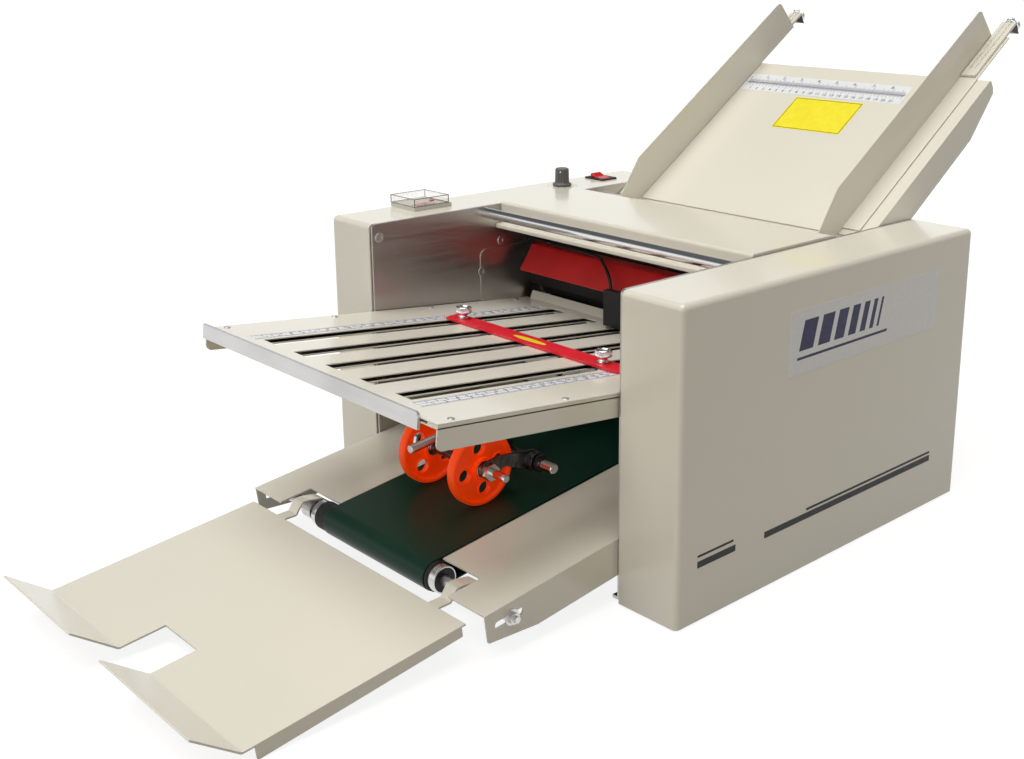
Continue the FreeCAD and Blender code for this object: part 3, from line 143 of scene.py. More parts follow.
sky = bpy.data.worlds.new("studio_sky")
sky.use_nodes = True
scene.world = sky
tree = sky.node_tree
tree.nodes.clear()
fill, white, choose, world_output = add(tree, "Background", "Background", "MixShader", "OutputWorld")
direction, climb, ceiling = add(tree, "TexCoord", "SeparateXYZ", "ValToRGB")
ray, only_gloss = add(tree, "LightPath", "Mix")
fill_in(fill, Color=(1.0, 0.94, 0.84, 1), Strength=0.32)
fill_in(white, Strength=1.0)
only_gloss.data_type = "RGBA"
fill_in(only_gloss, A=(1, 1, 1, 1))
stops = ceiling.color_ramp.elements
stops[0].position, stops[0].color = 0.30, (1, 1, 1, 1)
stops[1].position, stops[1].color = 0.98, (1, 1, 1, 1)
for place, grey in ((0.40, 0.30), (0.62, 0.10), (0.86, 0.16), (0.93, 0.90)):
    stops.new(place).color = (grey, grey, grey, 1)
joined(
    tree,
    (direction.outputs["Generated"], climb.inputs[0]),
    (climb.outputs["Z"], ceiling.inputs["Fac"]),
    (ray.outputs["Is Glossy Ray"], only_gloss.inputs["Factor"]),
    (ceiling.outputs["Color"], only_gloss.inputs["B"]),
    (only_gloss.outputs["Result"], white.inputs["Color"]),
    (white_to_lens(tree), choose.inputs[0]),
    (fill.outputs[0], choose.inputs[1]),
    (white.outputs[0], choose.inputs[2]),
    (choose.outputs[0], world_output.inputs["Surface"]),
)

paper = bpy.data.materials.new("studio_floor")
paper.use_nodes = True
tree = paper.node_tree
tree.nodes.clear()
lit, plain, glow, under, choose, paper_output = add(
    tree, "BsdfDiffuse", "BsdfDiffuse", "Emission", "MixShader", "MixShader", "OutputMaterial",
)
fill_in(lit, Color=(0.9, 0.9, 0.9, 1))
fill_in(plain, Color=(0.26, 0.235, 0.20, 1))
fill_in(glow, Strength=1.15)
fill_in(under, Fac=0.75)
joined(
    tree,
    (lit.outputs[0], under.inputs[1]),
    (glow.outputs[0], under.inputs[2]),
    (white_to_lens(tree), choose.inputs[0]),
    (plain.outputs[0], choose.inputs[1]),
    (under.outputs[0], choose.inputs[2]),
    (choose.outputs[0], paper_output.inputs["Surface"]),
)

REACH = 30.0                                    # metres to each side
corners = [(-REACH, -REACH, 0), (REACH, -REACH, 0), (REACH, REACH, 0), (-REACH, REACH, 0)]
floor_mesh = bpy.data.meshes.new("floor")
floor_mesh.from_pydata(corners, [], [(0, 1, 2, 3)])
floor_mesh.materials.append(paper)
floor = bpy.data.objects.new("floor", floor_mesh)
scene.collection.objects.link(floor)
floor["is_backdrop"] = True


def soft_sun(name, toward, strength, spread=50.0, colour=(1.0, 0.99, 0.97)):
    """A far lamp that shines along the vector toward. Its disc of spread degrees makes the shadows soft."""
    lamp = bpy.data.lights.new(name, "SUN")
    lamp.energy, lamp.angle, lamp.color = strength, math.radians(spread), colour
    holder = bpy.data.objects.new(name, lamp)
    holder.rotation_euler = Vector(toward).to_track_quat("-Z", "Y").to_euler()
    scene.collection.objects.link(holder)


soft_sun("overhead", (0.06, 0.24, -1.0), 2.20)
soft_sun("front_fill", (-0.10, 0.85, -0.35), 0.42)

# %% [markdown]
# ## Finishes
# Every finish starts from the Principled shader. What makes it real is the small disturbance on top: powder
# coat has an orange-peel skin, rolled steel has streaks along the rolling, rubber has a fine tooth, and
# every bent or cut edge is a little round and catches light. All patterns read Object coordinates, so they
# stay on the piece.

# %% Helpers for finishes
def grain(tree, waves, detail=3.0, stretch=(1, 1, 1)):
    """Noise on Object coordinates, so many waves per metre, pulled out along an axis by a small stretch."""
    place, mapping, noise = add(tree, "TexCoord", "Mapping", "TexNoise")
    fill_in(mapping, Scale=stretch)
    fill_in(noise, Scale=waves, Detail=detail)
    joined(
        tree,
        (place.outputs["Object"], mapping.inputs["Vector"]),
        (mapping.outputs["Vector"], noise.inputs["Vector"]),
    )
    return noise.outputs["Fac"]


def vary(tree, factor, low, high, target):
    """Sends a socket the value low where the pattern is 0.2 and high where it is 0.8, by a smooth step."""
    (spread,) = add(tree, "MapRange")
    spread.interpolation_type = "SMOOTHERSTEP"
    fill_in(spread, From_Min=0.2, From_Max=0.8, To_Min=low, To_Max=high)
    joined(tree, (factor, spread.inputs["Value"]), (spread.outputs["Result"], target))


def tint(tree, factor, dark, light, target):
    """Sends a socket a blend of two colours, dark where the pattern is 0.2 and light where it is 0.8."""
    (ramp,) = add(tree, "ValToRGB")
    ramp.color_ramp.interpolation = "EASE"
    for stop, place, colour in zip(ramp.color_ramp.elements, (0.2, 0.8), (dark, light)):
        stop.position, stop.color = place, (*colour, 1)
    joined(tree, (factor, ramp.inputs["Fac"]), (ramp.outputs["Color"], target))


def relief(tree, factor, height, edge, target):
    """Raises the surface by the pattern times height, over edges rounded by the radius edge, in mm."""
    soft_edge, bump = add(tree, "Bevel", "Bump")
    soft_edge.samples = 4
    fill_in(soft_edge, Radius=edge * MM)
    fill_in(bump, Strength=1.0, Distance=height * MM)
    joined(
        tree,
        (factor, bump.inputs["Height"]),
        (soft_edge.outputs["Normal"], bump.inputs["Normal"]),
        (bump.outputs["Normal"], target),
    )


def shader_of(material):
    """A finish's one Principled shader."""
    return material.node_tree.nodes["Principled BSDF"]


def finish(name, colour, roughness, metallic=0.0, coat=0.0, specular=0.5, cloud=None, gloss=None, skin=None):
    """A material whose constant values sit on its shader's own sockets, with up to three patterns.

    The cloud is in its colour, the gloss in its roughness and the skin in its relief. Each is (waves per
    metre, first value, second value), and may go on with its detail and its stretch. The two values are two
    colours, two roughnesses, or the height of the relief and the radius of the edges.
    """
    material = bpy.data.materials.new(name)
    material.use_nodes = True
    material.diffuse_color = (*colour, 1)
    tree, shader = material.node_tree, shader_of(material)
    fill_in(
        shader, Base_Color=(*colour, 1), Roughness=roughness, Metallic=metallic, Coat_Weight=coat,
        Coat_Roughness=0.08, Specular_IOR_Level=specular,
    )
    patterns = (cloud, tint, "Base Color"), (gloss, vary, "Roughness"), (skin, relief, "Normal")
    for pattern, send, socket in patterns:
        if pattern:
            waves, first, second, *how = pattern
            send(tree, grain(tree, waves, *how), first, second, shader.inputs[socket])
    print("finish", name, "roughness", roughness, "metallic", metallic)
    return material


# %% [markdown]
# ### Paint
# The housings, tables and trays are powder coated: warm cream, smooth and rather glossy. A broad, faint
# cloud in the colour and a finer one in the gloss keep large flat sheets from looking like plastic film.

# %% Mix the paints
CREAM = np.array((0.775, 0.748, 0.655))

cream_paint = finish(
    "cream_paint", CREAM, 0.25, coat=0.4,
    cloud=(3.0, 0.985 * CREAM, 1.015 * CREAM, 2.0), gloss=(12.0, 0.24, 0.27, 1.0),
    skin=(90.0, 0.008, 0.9, 0.0),
)
red_paint = finish(
    "red_paint", (0.80, 0.010, 0.024), 0.34, coat=0.15,
    cloud=(30.0, (0.74, 0.010, 0.026), (0.84, 0.016, 0.036)), skin=(500.0, 0.01, 0.5, 1.0),
)
guard_red = finish(
    "guard_red", (0.62, 0.012, 0.014), 0.36, coat=0.1,
    cloud=(24.0, (0.56, 0.010, 0.012), (0.68, 0.015, 0.016)), skin=(380.0, 0.02, 0.6, 1.0),
)

# %% [markdown]
# ### Metals
# The side plates are rolled steel. Streaks that are long one way and a fraction of a millimetre the other
# widen every reflection across them, which gives the soft vertical gradient that such plates show. Turned
# parts are chromed or left as bright aluminium with fine turning marks. The arms of the press wheels are
# blackened steel, and some machined parts are bright only at their turned ends.

# %% Finish the metals
rolled_steel = finish(
    "rolled_steel", (0.53, 0.505, 0.485), 0.30, metallic=1.0,
    cloud=(6.0, (0.50, 0.475, 0.455), (0.56, 0.535, 0.515), 1.0),
    gloss=(260.0, 0.29, 0.37, 1.0, (1.0, 0.03, 1.0)), skin=(900.0, 0.0006, 0.4, 1.0),
)
satin_steel = finish(
    "satin_steel", (0.62, 0.61, 0.60), 0.36, metallic=1.0,
    gloss=(300.0, 0.30, 0.44), skin=(700.0, 0.008, 0.4),
)
chrome = finish(
    "chrome", (0.74, 0.75, 0.76), 0.09, metallic=1.0, gloss=(160.0, 0.06, 0.14), skin=(90.0, 0.01, 0.3),
)
aluminium = finish(
    "aluminium", (0.72, 0.72, 0.72), 0.25, metallic=1.0,
    gloss=(1400.0, 0.18, 0.34, 3.0, (1.0, 0.1, 0.1)), skin=(1400.0, 0.01, 0.4, 3.0, (1.0, 0.1, 0.1)),
)
anodised_bar = finish(
    "anodised_bar", (0.58, 0.58, 0.575), 0.42, metallic=0.85,
    cloud=(40.0, (0.56, 0.56, 0.555), (0.70, 0.70, 0.695), 6.0, (0.3, 1, 1)),
    skin=(800.0, 0.01, 0.5, 3.0, (0.08, 1, 1)),
)
arm_steel = finish(
    "arm_steel", (0.05, 0.048, 0.046), 0.30, metallic=1.0,
    cloud=(60.0, (0.10, 0.097, 0.093), (0.16, 0.155, 0.15)), gloss=(300.0, 0.24, 0.38),
    skin=(500.0, 0.002, 0.6, 1.0),
)
black_steel = finish(
    "black_steel", (0.012, 0.011, 0.011), 0.36, specular=0.3,
    gloss=(200.0, 0.28, 0.45), skin=(600.0, 0.012, 0.5),
)
steel_bright = finish("steel_bright", (0.70, 0.70, 0.70), 0.18, metallic=1.0, gloss=(300.0, 0.14, 0.26))

# %% [markdown]
# ### Rubber and plastic
# Rubber scatters light from a fine tooth. Moulded plastic is smoother, with a slight spark-eroded texture.
# The delivery belt is a dark green coated fabric: smooth enough for a dull sheen, with a woven back that
# prints through.

# %% Mould the plastics and rubbers
black_rubber = finish(
    "black_rubber", (0.016, 0.016, 0.016), 0.6, specular=0.3,
    gloss=(300.0, 0.5, 0.7), skin=(1500.0, 0.03, 0.5),
)
green_belt = finish(
    "green_belt", (0.004, 0.034, 0.020), 0.34, specular=0.2,
    cloud=(9.0, (0.003, 0.030, 0.017), (0.005, 0.038, 0.022), 2.0), gloss=(14.0, 0.30, 0.37, 1.0),
    skin=(60.0, 0.01, 0.4, 0.0),
)
orange_plastic = finish(
    "orange_plastic", (0.96, 0.080, 0.004), 0.34, specular=0.3,
    cloud=(40.0, (0.93, 0.072, 0.003), (0.99, 0.088, 0.005)), skin=(700.0, 0.01, 0.7),
)
# the orange wheels also glow faintly: painted light that keeps them bright in the fold plate's shade
fill_in(shader_of(orange_plastic), Emission_Color=(1.0, 0.050, 0.001, 1), Emission_Strength=0.26)
red_plastic = finish(
    "red_plastic", (0.70, 0.008, 0.012), 0.22,
    cloud=(80.0, (0.55, 0.006, 0.010), (0.68, 0.010, 0.014)), skin=(500.0, 0.006, 0.3),
)
black_plastic = finish(
    "black_plastic", (0.013, 0.013, 0.014), 0.42, specular=0.3,
    gloss=(400.0, 0.32, 0.46), skin=(1100.0, 0.014, 0.4),
)
grey_plastic = finish(
    "grey_plastic", (0.125, 0.122, 0.117), 0.45, specular=0.4,
    gloss=(400.0, 0.38, 0.52), skin=(1100.0, 0.014, 0.4),
)
board_green = finish(
    "board_green", (0.012, 0.11, 0.045), 0.35, coat=0.2,
    cloud=(260.0, (0.010, 0.09, 0.035), (0.014, 0.13, 0.055)),
)

clear_plastic = finish("clear_plastic", (0.93, 0.90, 0.88), 0.03, gloss=(100.0, 0.02, 0.05))
tree = clear_plastic.node_tree
edge_on, thickness = add(tree, "LayerWeight", "MapRange")
fill_in(edge_on, Blend=0.35)
fill_in(thickness, To_Min=0.04, To_Max=0.30)
joined(
    tree,
    (edge_on.outputs["Facing"], thickness.inputs["Value"]),
    (thickness.outputs["Result"], shader_of(clear_plastic).inputs["Alpha"]),
)

# %% Dress the solids
wardrobe = {
    cream_paint: (
        "left_cover right_cover top_cover feed_table feed_guide_left feed_guide_right extension_bar_left "
        "extension_bar_right fold_plate_one fold_plate_one_tray fold_plate_two deck_left deck_right "
        "delivery_tray"
    ),
    rolled_steel: "left_side_plate right_side_plate base_pan",
    satin_steel: "cross_rods shaft_bearings frame_screws wheel_rail",
    arm_steel: "wheel_arms wheel_carriage",
    anodised_bar: "fold_plate_one_bar",
    chrome: "chrome_rail stop_screw_left stop_screw_right stop_screw_rear guide_knob_left guide_knob_right",
    aluminium: "belt_roller_front belt_roller_rear motor_pulley",
    black_rubber: (
        "rubber_feet drive_belts fold_roller_1 fold_roller_2 fold_roller_3 fold_roller_4 feed_roller"
    ),
    green_belt: "conveyor_belt",
    black_steel: "roller_shield belt_bed motor separator_arm",
    black_plastic: "paper_sensor sensor_cable wing_screw control_bezels power_inlet",
    grey_plastic: "speed_knob",
    red_paint: "stop_bar_one stop_bar_two",
    guard_red: "red_guard",
    orange_plastic: "press_wheel_left press_wheel_right",
    red_plastic: "rocker_switch",
    clear_plastic: "counter_lid",
    board_green: "control_board",
}
for coat, names in wardrobe.items():
    for name in names.split():
        for place in nodes[name].material_slots:
            place.material = coat
print("dressed:", sum(len(names.split()) for names in wardrobe.values()), "of", len(nodes))

# %% [markdown]
# ## Making shapes from grids
# Almost every new piece is either a profile turned round an axis or an outline raised into a slab. Blender
# could turn and extrude them with operators, but worked out as whole arrays they are exact and quick, and
# their formula can be read. A shape here is a pair: its points as an array in mm, and its faces as lists of
# point numbers.

# %% Helpers for shapes
X, Y, Z = (1, 0, 0), (0, 1, 0), (0, 0, 1)       # the frame's axes


def grid_faces(rows, columns, wrap=True):
    """The quads of a grid of points: point (r, c), its neighbour in the row, and the two above them."""
    r = np.arange(rows - 1)[:, None]
    c = np.arange(columns if wrap else columns - 1)[None, :]
    after = (c + 1) % columns
    here, above = r * columns, (r + 1) * columns
    return np.stack([here + c, here + after, above + after, above + c], -1).reshape(-1, 4).tolist()


def lids(rows, columns):
    """The first ring of a grid, turned to look away from the others, and its last ring, each as one face."""
    last = (rows - 1) * columns
    return [list(range(columns))[::-1], list(range(last, last + columns))]


def turned(profile, centre, axis, segments=64, ripple=None):
    """A profile of (radius, height) pairs swept round an axis, closed at both ends by a flat face.

    Each point is centre + height along the axis + radius times (side times cosine + across times sine) of its
    angle. The ripple, if there is one, gives for each height and angle the share by which the radius grows.
    """
    axis = np.asarray(axis, float) / np.linalg.norm(axis)
    side = np.cross(axis, Z if abs(axis[2]) < 0.9 else X)
    side /= np.linalg.norm(side)
    across = np.cross(axis, side)
    radius, height = np.asarray(profile, float).T[:, :, None]
    angle = np.linspace(0.0, 2 * np.pi, segments, endpoint=False)[None, :]
    radius = radius * (1.0 if ripple is None else 1.0 + ripple(height, angle))
    ring = np.cos(angle)[..., None] * side + np.sin(angle)[..., None] * across
    points = np.asarray(centre, float) + height[..., None] * axis + radius[..., None] * ring
    rows = len(profile)
    return points.reshape(-1, 3), grid_faces(rows, segments) + lids(rows, segments)


def slab(outline, low, high):
    """An outline of (x, y) pairs raised into a slab between two heights: two rings and two lids."""
    outline = np.asarray(outline, float)
    count = len(outline)
    points = np.concatenate([np.column_stack([outline, np.full(count, h)]) for h in (low, high)])
    return points, grid_faces(2, count) + lids(2, count)


def rounded(x0, x1, y0, y1, radius, steps=6):
    """A rectangle's outline with quarter-circle corners: each corner's centre plus radius times its arc."""
    turn = np.linspace(0.0, np.pi / 2, steps)
    arc = np.stack([np.cos(turn), np.sin(turn)], -1) * radius
    spin = [np.array([[1, 0], [0, 1]]), np.array([[0, 1], [-1, 0]]), -np.eye(2), np.array([[0, -1], [1, 0]])]
    x0, x1, y0, y1 = x0 + radius, x1 - radius, y0 + radius, y1 - radius
    corners = [(x1, y1), (x0, y1), (x0, y0), (x1, y0)]
    return np.concatenate([np.array(c) + arc @ s for c, s in zip(corners, spin)])


def laid(shape, origin, right, up):
    """A flat shape laid on a plane: origin + x times right + y times up + z times their cross product."""
    right, up = np.asarray(right, float), np.asarray(up, float)
    return np.asarray(origin, float) + shape[0] @ np.stack([right, up, np.cross(right, up)]), shape[1]


def face_outwards(mesh, weld=0.0):
    """Turns all faces outwards, after merging the points that lie less than weld mm apart."""
    work = bmesh.new()
    work.from_mesh(mesh)
    if weld:
        bmesh.ops.remove_doubles(work, verts=work.verts, dist=weld * MM)
    bmesh.ops.recalc_face_normals(work, faces=work.faces)
    work.to_mesh(mesh)
    work.free()


def new_piece(name, dressed, body, plane=None, instead=(), sharp=35.0):
    """One piece in its place, riding on a body, shown instead of the solids that are named.

    dressed gives each finish its list of shapes, which are laid on the plane where there is one.
    """
    shapes = [laid(shape, *plane) if plane else shape for group in dressed.values() for shape in group]
    starts = np.cumsum([0] + [len(points) for points, _ in shapes])
    faces = [[start + i for i in face] for (_, own), start in zip(shapes, starts) for face in own]
    mesh = bpy.data.meshes.new(name)
    mesh.from_pydata((np.concatenate([points for points, _ in shapes]) * MM).tolist(), [], faces)
    mesh.update()
    face_outwards(mesh)
    for coat in dressed:
        mesh.materials.append(coat)
    numbers = [n for n, group in enumerate(dressed.values()) for shape in group for _ in shape[1]]
    mesh.polygons.foreach_set("material_index", numbers)
    mesh.polygons.foreach_set("use_smooth", np.ones(len(mesh.polygons), bool))
    mesh.set_sharp_from_angle(angle=math.radians(sharp))
    piece = bpy.data.objects.new(name, mesh)
    scene.collection.objects.link(piece)
    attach(piece, body)
    if instead:
        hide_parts(*instead)
    print(name, len(mesh.vertices), "points", [round(d / MM, 1) for d in piece.dimensions])
    return piece


def slope(angle):
    """The right, the upward and the outward direction of a sheet that rises towards the rear by an angle."""
    c, s = math.cos(math.radians(angle)), math.sin(math.radians(angle))
    return X, np.array([0, c, s]), np.array([0, -s, c])


# %% [markdown]
# ## Printing
# Rulers and labels are foils stuck to the sheet metal. Their marks could be drawn in a shader, but a long
# strip of numbers has no simple pattern, and real ink has a crisp edge at any distance. So each mark is a
# bar of ink, three hundredths of a millimetre thick. The font's digits are turned into a mesh once and
# copied to their places.

# %% Ink and foil
INK = 0.03                                      # mm

foil_white = finish(
    "foil_white", (0.80, 0.82, 0.85), 0.3, coat=0.2,
    cloud=(200.0, (0.78, 0.80, 0.84), (0.82, 0.84, 0.87), 1.0),
)
foil_yellow = finish(
    "foil_yellow", (0.93, 0.80, 0.02), 0.3, coat=0.2,
    cloud=(120.0, (0.90, 0.77, 0.015), (0.95, 0.83, 0.03), 1.0),
)
ink_navy = finish("ink_navy", (0.012, 0.013, 0.075), 0.4, specular=0.3, gloss=(300.0, 0.34, 0.5))
ink_black = finish("ink_black", (0.008, 0.008, 0.009), 0.45, specular=0.25, gloss=(300.0, 0.34, 0.5))


def ink_bars(x0, x1, y0, y1, base):
    """Printed bars as one shape. Each bar's corners are picked from its two x, two y and two heights."""
    x0, x1, y0, y1 = np.broadcast_arrays(*(np.atleast_1d(np.asarray(v, float)) for v in (x0, x1, y0, y1)))
    pick = np.array([(x, y, z) for z in (0, 1) for x, y in ((0, 0), (1, 0), (1, 1), (0, 1))], bool)
    points = np.stack(
        [
            np.where(pick[:, 0], x1[:, None], x0[:, None]),
            np.where(pick[:, 1], y1[:, None], y0[:, None]),
            np.broadcast_to(np.where(pick[:, 2], base + INK, base), (len(x0), 8)),
        ],
        -1,
    )
    sides = np.array([(3, 2, 1, 0), (4, 5, 6, 7), (0, 1, 5, 4), (1, 2, 6, 5), (2, 3, 7, 6), (3, 0, 4, 7)])
    faces = (sides[None] + 8 * np.arange(len(x0))[:, None, None]).reshape(-1, 4)
    return points.reshape(-1, 3), faces.tolist()


digits = {}


def number(text, size, x, y, base, turn=0.0):
    """A number whose middle is at (x, y), as a flat solid, turned on its plane by an angle in degrees."""
    if text not in digits:
        curve = bpy.data.curves.new("digits", "FONT")
        curve.body, curve.size, curve.extrude, curve.resolution_u, curve.offset = text, 1.0, 0.5, 2, 0.012
        curve.align_x, curve.align_y = "CENTER", "CENTER"
        writer = bpy.data.objects.new("digits", curve)
        mesh = bpy.data.meshes.new_from_object(writer)
        points = np.empty(len(mesh.vertices) * 3)
        mesh.vertices.foreach_get("co", points)
        digits[text] = points.reshape(-1, 3), [list(face.vertices) for face in mesh.polygons]
        bpy.data.objects.remove(writer)
        bpy.data.meshes.remove(mesh)
    points, faces = digits[text]
    a = math.radians(turn)
    spin = np.array([(math.cos(a), math.sin(a)), (-math.sin(a), math.cos(a))]) * size
    flat = points[:, :2] @ spin + (x, y)
    return np.column_stack([flat, base + INK * (points[:, 2] + 0.5)]), faces


def scale_marks(start, stop, step, ranks, line, away, thin=0.36):
    """Ruler ticks across x: one each step from start to stop, as long as the coarsest rank that it falls on.

    ranks is a list of (every so many ticks, length). Ticks grow from y = line in the direction away, 1 or -1.
    """
    tick = np.arange(int((stop - start) / step) + 1)
    length = np.zeros(len(tick))
    for every, long in ranks:
        length = np.where(tick % every == 0, np.maximum(length, long), length)
    x = start + tick * step
    low, high = np.minimum(line, line + away * length), np.maximum(line, line + away * length)
    return x - thin / 2, x + thin / 2, low, high


# %% [markdown]
# ### The ruler and the label on the feed table
# The operator sets the side guides by this ruler: inches run along its upper half and centimetres along its
# lower half, back to back on a middle line. Below it sits a yellow label, left blank but for its border.

# %% Print the table's ruler and label
TABLE_ANGLE, PLATE_ANGLE, REAR_ANGLE = 33.8, -6.04, 5.0   # degrees: the table and the two fold plates
TABLE = ((0, 352.8, 414.7), *slope(TABLE_ANGLE)[:2])   # the middle of the upper edge, then the two directions
FOIL = 0.2                                      # mm
INCH = 25.4

left, right, low, high, middle = -136.5, 91.0, -53.5, -22.5, -38.0
start, stop = left + 4, right - 2
inches = scale_marks(
    start, stop, INCH / 16, [(1, 4.2), (2, 5.4), (4, 6.6), (8, 8.0), (16, 10.2)], middle, 1, thin=0.55,
)
millimetres = scale_marks(start, stop, 1.0, [(1, 2.8), (5, 5.6), (10, 7.4)], middle, -1, thin=0.42)
marks = [
    ink_bars(left, right, middle - 0.3, middle + 0.3, FOIL),
    ink_bars(*inches, FOIL),
    ink_bars(*millimetres, FOIL),
    *(number(str(n), 6.6, start + INCH * n - 3.4, high - 4.4, FOIL) for n in range(1, 9)),
    *(number(str(n), 5.8, start + 10.0 * n, low + 4.0, FOIL) for n in range(1, 22)),
]
foil = slab(rounded(left, right, low, high, 1.0), 0.0, FOIL)
new_piece(
    "table_ruler", {foil_white: [foil], ink_navy: marks}, "frame", TABLE, ["printed_plates"],
)

left, right, low, high = -46.5, 47.5, -113.5, -58.0
inset, line = 1.3, 0.7
border = ink_bars(
    [left + inset, left + inset, left + inset, right - inset - line],
    [right - inset, right - inset, left + inset + line, right - inset],
    [low + inset, high - inset - line, low + inset, low + inset],
    [low + inset + line, high - inset, high - inset, high - inset], FOIL,
)
foil = slab(rounded(left, right, low, high, 1.5), 0.0, FOIL)
new_piece("table_label", {foil_yellow: [foil], ink_black: [border]}, "frame", TABLE)

# %% [markdown]
# ### The ruler strips on the fold plate
# The stop bar is set by two strips, one beside each outer slot. They are read from the side, so their
# numbers lie across the strip, and a line down the middle parts the two scales.

# %% Print the fold plate's strips
PLATE = ((0, -401.0, 212.7), *slope(PLATE_ANGLE)[:2])
strip_low, strip_high = 16.0, 372.0


def plate_strip(name, x0, x1):
    """A strip with millimetres along its left edge and sixteenths of an inch along its right edge."""
    middle, start, stop = (x0 + x1) / 2, strip_low + 3, strip_high - 3
    fine = scale_marks(start, stop, 1.0, [(1, 2.0), (5, 2.6), (10, 3.4)], x0 + 0.3, 1, thin=0.46)
    coarse = scale_marks(start, stop, INCH / 16, [(1, 2.0), (4, 2.6), (8, 3.4)], x1 - 0.3, -1, thin=0.62)
    marks = [
        ink_bars(middle - 0.15, middle + 0.15, strip_low, strip_high, FOIL),
        ink_bars(fine[2], fine[3], fine[0], fine[1], FOIL),
        ink_bars(coarse[2], coarse[3], coarse[0], coarse[1], FOIL),
        *(number(str(n), 5.4, middle - 1.6, start + 10 * n, FOIL, 90) for n in range(1, 35)),
        *(number(str(n), 5.4, middle + 2.6, start + INCH / 2 * n, FOIL, 90) for n in range(1, 28)),
    ]
    foil = slab(rounded(x0, x1, strip_low, strip_high, 1.0), 0.0, FOIL)
    new_piece(name, {foil_white: [foil], ink_navy: marks}, "frame", PLATE)


plate_strip("plate_strip_left", -128.0, -115.0)
plate_strip("plate_strip_right", 117.0, 131.0)

# %% [markdown]
# ### The side label and the stripes
# The outside of the right housing has a pale label and four black stripes. The label carries no words here.
# A row of slanted navy bars that grow thinner fills the place in the same style.

# %% Print the right housing's side
SIDE = ((245.0, 0, 0), Y, Z)                    # x runs along the machine's +Y, y runs upwards

left, right, low, high = -78.0, 156.0, 192.0, 250.5
foil = slab(rounded(left, right, low, high, 2.0), 0.0, FOIL)
bars = [(-64.0, 20.0), (-37.0, 17.5), (-13.0, 14.5), (8.0, 11.5), (26.0, 8.5), (41.0, 6.0), (53.0, 3.5)]


def slanted(x0, wide, y0, y1, lean):
    """A leaning bar of ink: a slab on four corners, of which the upper two are shifted by lean."""
    return slab([(x0, y0), (x0 + wide, y0), (x0 + wide + lean, y1), (x0 + lean, y1)], FOIL, FOIL + INK)


motif = [slanted(x0, wide, 213.0, 240.0, 7.0) for x0, wide in bars]
motif.append(slanted(-66.5, 137.0, 205.0, 207.5, 0.65))
new_piece("side_label", {foil_white: [foil], ink_navy: motif}, "frame", SIDE)
stripes = [
    slab(rounded(y0, y1, z0, z1, 0.4, 3), 0.0, FOIL)
    for y0, y1, z0, z1 in (
        (-190.0, -144.0, 60.6, 62.6), (-190.0, -141.0, 51.0, 57.0),
        (-101.5, 163.5, 49.5, 55.5), (-41.5, 163.5, 57.6, 59.8),
    )
]
new_piece("side_stripes", {ink_black: stripes}, "frame", SIDE)

# %% [markdown]
# ## The counter
# The counter tells how many sheets have passed. It sits under a clear lid on a pale base: a dark window
# with two red figures, each built of seven bars as on any such display, and a small round key beside it.

# %% Build the counter's base and display
display_red = finish("display_red", (0.70, 0.03, 0.02), 0.5, gloss=(500.0, 0.3, 0.4))
fill_in(shader_of(display_red), Emission_Color=(1.0, 0.05, 0.03, 1), Emission_Strength=0.5)
window_dark = finish("window_dark", (0.10, 0.010, 0.010), 0.12, coat=0.5, gloss=(200.0, 0.1, 0.16))
base_grey = finish("base_grey", (0.60, 0.575, 0.51), 0.4, gloss=(500.0, 0.34, 0.46), skin=(1200.0, 0.01, 0.4))


def stacked(levels, radius):
    """A skin over rounded rectangles about the origin, one for each (half of x, half of y, height)."""
    rings = [(rounded(-a, a, -b, b, radius), height) for a, b, height in levels]
    points = np.concatenate([np.column_stack([ring, np.full(len(ring), height)]) for ring, height in rings])
    return points, grid_faces(len(levels), len(rings[0][0]))


HOUSING_TOP = 282.0
counter_low, counter_high = (np.array(v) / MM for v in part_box("counter_lid"))
counter_x = (counter_low[0] + counter_high[0]) / 2
half = (counter_high[0] - counter_low[0]) / 2
COUNTER = ((counter_x, -116.0, HOUSING_TOP), X, Y)
points, faces = stacked([(half, 25.0, 0.0), (half, 25.0, 3.6), (half - 0.4, 24.6, 4.0)], 1.5)
base = points, faces + lids(3, len(points) // 3)

# the seven bars of a figure, as (x0, x1, y0, y1) shares of a figure that is 1 wide and 2 high
seven = np.array([
    (0.1, 0.9, 1.88, 2.0), (0.88, 1.0, 1.05, 1.9), (0.88, 1.0, 0.1, 0.95), (0.1, 0.9, 0.0, 0.12),
    (0.0, 0.12, 0.1, 0.95), (0.0, 0.12, 1.05, 1.9), (0.1, 0.9, 0.94, 1.06),
])
ON = {"2": [0, 1, 6, 4, 3], "5": [0, 5, 6, 2, 3]}   # the bars that are lit


def figure(value, x, y, tall):
    """A lit figure with its lower left corner at (x, y), on the window's face."""
    x0, x1, y0, y1 = (seven[ON[value]] * tall / 2).T
    return ink_bars(x + x0, x + x1, y + y0, y + y1, 4.35)


# the display is read from the machine's right-hand side
DISPLAY = ((counter_x + half - 11.0, -120.0, HOUSING_TOP), Y, (-1, 0, 0))
window = slab(rounded(-13.0, 13.0, -6.0, 6.0, 1.0), 3.9, 4.3)
figures = [figure("2", -8.0, -4.0, 8.0), figure("5", -2.0, -4.0, 8.0)]
key = turned([(2.6, 3.9), (2.6, 5.2), (2.3, 5.6)], (0, 14.0, 0), Z, 32)
dressed = {
    base_grey: [laid(base, *COUNTER)], window_dark: [laid(window, *DISPLAY)],
    display_red: [laid(f, *DISPLAY) for f in figures], red_plastic: [laid(key, *COUNTER)],
}
new_piece("counter_base", dressed, "frame")

# %% [markdown]
# ### The edges of the clear lid
# A moulded clear box is nearly invisible on its faces. What the eye finds is its edges, where one looks
# through the whole length of a wall and the plastic turns grey. Twelve slim bars along the lid's edges give
# that, and all come from the box's lowest and highest corner. Four small dots are printed on the lid's top.

